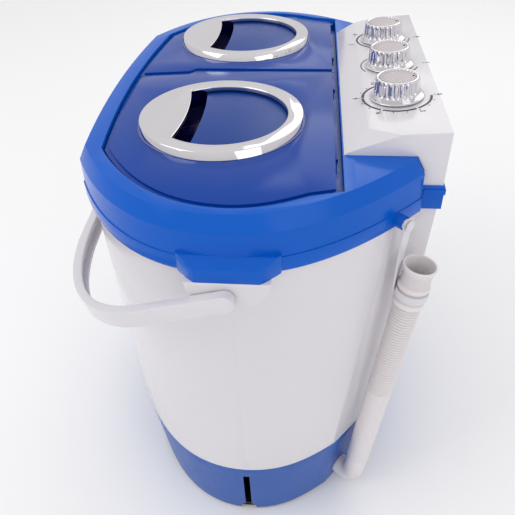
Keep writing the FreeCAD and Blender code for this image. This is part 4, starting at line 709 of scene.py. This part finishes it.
DIALS = {
    "wash_timer": {"arcs": [(30.0, 2.2, 2.2, 60.0 * i + 2.0, 56.0) for i in range(5)],
                   "ticks": (16, 300.0), "numbers": [(str(3 * i), 60.0 * i) for i in range(6)]},
    "selector": {"arcs": [(27.5, 1.1, 1.1, 150.0, 130.0), (28.0, 1.2, 2.6, 20.0, 92.0)],
                 "ticks": (2, 90.0), "numbers": [("1", 0.0), ("2", 90.0)]},
    "spin_timer": {"arcs": [(28.0, 1.0, 2.4, 4.0, 266.0)],
                   "ticks": (6, 270.0), "numbers": [(str(i), 54.0 * i) for i in range(6)]},
}


def dial(name, tree):
    """Printed scale round a knob: arcs, ticks and plain numbers."""
    facts = DIALS[name]
    work = bmesh.new()

    def add(mesh):
        work.from_mesh(mesh)
        bpy.data.meshes.remove(mesh)

    for radius, w0, w1, start, sweep in facts["arcs"]:
        points, faces = arc_band(radius * MM, w0 * MM, w1 * MM, start, sweep)
        add(mesh_from("arc", points, faces))
    count, sweep = facts["ticks"]
    carrier = carrier_of_points("ticks", [(0, 0, 0)])
    add(run_tree(carrier, tree, {"Count": count, "Sweep": math.radians(sweep), "Finish": FINISH["ink"]}))
    bpy.data.objects.remove(carrier)
    for text, degrees in facts["numbers"]:
        angle = math.radians(degrees)
        place = (NUMBER_RING * math.sin(angle), NUMBER_RING * math.cos(angle))
        add(digit_mesh(text, NUMBER_SIZE, place))
    mesh = bpy.data.meshes.new(name + "_scale")
    work.to_mesh(mesh)
    work.free()
    mesh.transform(knob_place(name))
    mesh.materials.clear()
    soften(mesh, 30.0)
    new_piece(name + "_scale", mesh, "cabinet", "black_plastic", FINISH["ink"])


# ---------------------------------------------------------------- screws
def screw_tree():
    """Pan heads with a cross recess, one on each point, facing the rear."""
    tree, start, end = new_tree("pan_head_screws", [
        ("Head Radius", "Float", 0.0036), ("Finish", "Material", None)])
    nodes, links = tree.nodes, tree.links
    ball = nodes.new("GeometryNodeMeshUVSphere")
    ball.inputs["Segments"].default_value = 28
    ball.inputs["Rings"].default_value = 14
    links.new(start.outputs["Head Radius"], ball.inputs["Radius"])
    squash = nodes.new("GeometryNodeTransform")
    links.new(ball.outputs["Mesh"], squash.inputs["Geometry"])
    squash.inputs["Scale"].default_value = (1, 1, 0.5)
    recess = nodes.new("GeometryNodeJoinGeometry")
    for size in ((0.0036, 0.0008, 0.0016), (0.0008, 0.0036, 0.0016)):
        bar = nodes.new("GeometryNodeMeshCube")
        bar.inputs["Size"].default_value = size
        raised = nodes.new("GeometryNodeTransform")
        raised.inputs["Translation"].default_value = (0, 0, 0.0016)
        links.new(bar.outputs["Mesh"], raised.inputs["Geometry"])
        links.new(raised.outputs["Geometry"], recess.inputs["Geometry"])
    cut = nodes.new("GeometryNodeMeshBoolean")
    cut.operation = "DIFFERENCE"
    links.new(squash.outputs["Geometry"], cut.inputs["Mesh 1"])
    links.new(recess.outputs["Geometry"], cut.inputs["Mesh 2"])
    spots = nodes.new("GeometryNodeInstanceOnPoints")
    links.new(start.outputs["Geometry"], spots.inputs["Points"])
    links.new(cut.outputs["Mesh"], spots.inputs["Instance"])
    spots.inputs["Rotation"].default_value = (-math.pi / 2, 0, 0)
    finish(tree, spots.outputs["Instances"], start, end)
    return tree


def solid_boxes(node):
    """Low and high corner of each separate solid in a node."""
    work = bmesh.new()
    work.from_mesh(NODES[node].data)
    bmesh.ops.remove_doubles(work, verts=work.verts, dist=WELD)
    seen, boxes = set(), []
    for vertex in work.verts:
        if vertex in seen:
            continue
        group, queue = [], [vertex]
        seen.add(vertex)
        while queue:
            here = queue.pop()
            group.append(here.co.copy())
            for edge in here.link_edges:
                other = edge.other_vert(here)
                if other not in seen:
                    seen.add(other)
                    queue.append(other)
        low = Vector([min(p[i] for p in group) for i in range(3)])
        high = Vector([max(p[i] for p in group) for i in range(3)])
        boxes.append((low, high))
    work.free()
    return boxes


def cover_screws():
    seats = [Vector(((low.x + high.x) / 2, low.y, (low.z + high.z) / 2))
             for low, high in solid_boxes("back_cover_screws")]
    carrier = carrier_of_points("screw_seats", seats)
    mesh = run_tree(carrier, screw_tree(), {"Finish": FINISH["steel"]})
    bpy.data.objects.remove(carrier)
    soften(mesh, 35.0)
    new_piece("cover_screw_heads", mesh, "cabinet", "steel", replaces=("back_cover_screws",))


# ---------------------------------------------------------------- lid inserts
def lid_insert(side):
    """Satin dome with a finger pocket in front of it, the pocket painted a darker, glossier navy as painted shade.
    """
    node = side + "_lid_dish"
    mesh = rounded(node + "_finished", welded_copy(node), 0.0006, 3)
    mesh.materials.append(FINISH["blue_insert"])
    mesh.materials.append(FINISH["pocket_painted_shade"])
    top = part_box(side + "_lid")[1].z
    # Faces sunk below the lid top, and the steep pocket walls, take the painted shade finish.
    for face in mesh.polygons:
        if face.center.z < top - 0.0015 or face.normal.z < 0.35:
            face.material_index = 1
    new_piece(node + "_shell", mesh, BODY_OF[node], "blue_insert", replaces=(node,))


# ---------------------------------------------------------------- build
# Width of the rounded edges of each CAD piece, in metres
EDGE_STEPS = 3
EDGE = {
    "top_frame": 0.0009, "outer_casing": 0.0008, "base_skirt": 0.0008, "control_panel": 0.0016,
    "back_cover": 0.0005, "carry_handle": 0.0009, "handle_pins": 0.0006, "strap_peg": 0.0003,
    "hose_strap": 0.0003, "drain_elbow": 0.0004, "cord_gland": 0.0006, "rubber_feet": 0.0005,
    "wash_lid": 0.0005, "spin_lid": 0.0005, "wash_lid_ring": 0.0006, "spin_lid_ring": 0.0006,
    "wash_tub": 0.0006, "spin_basket": 0.0006, "spin_outer_tub": 0.0006, "pulsator": 0.0009,
    "lint_filter": 0.0004, "lid_hinge_pins": 0.0003,
}

make_camera()
make_studio()
drain_hose()
for node_name, edge_width in EDGE.items():
    finished_copy(node_name, edge_width, EDGE_STEPS)
lid_insert("wash")
lid_insert("spin")
ticks = tick_tree()
for knob_name in KNOBS:
    knob(knob_name)
    dial(knob_name, ticks)
cover_screws()

for node_name, node_object in NODES.items():
    node_object.data.materials.clear()
    node_object.data.materials.append(FINISH[SLOT_OF[node_name]])
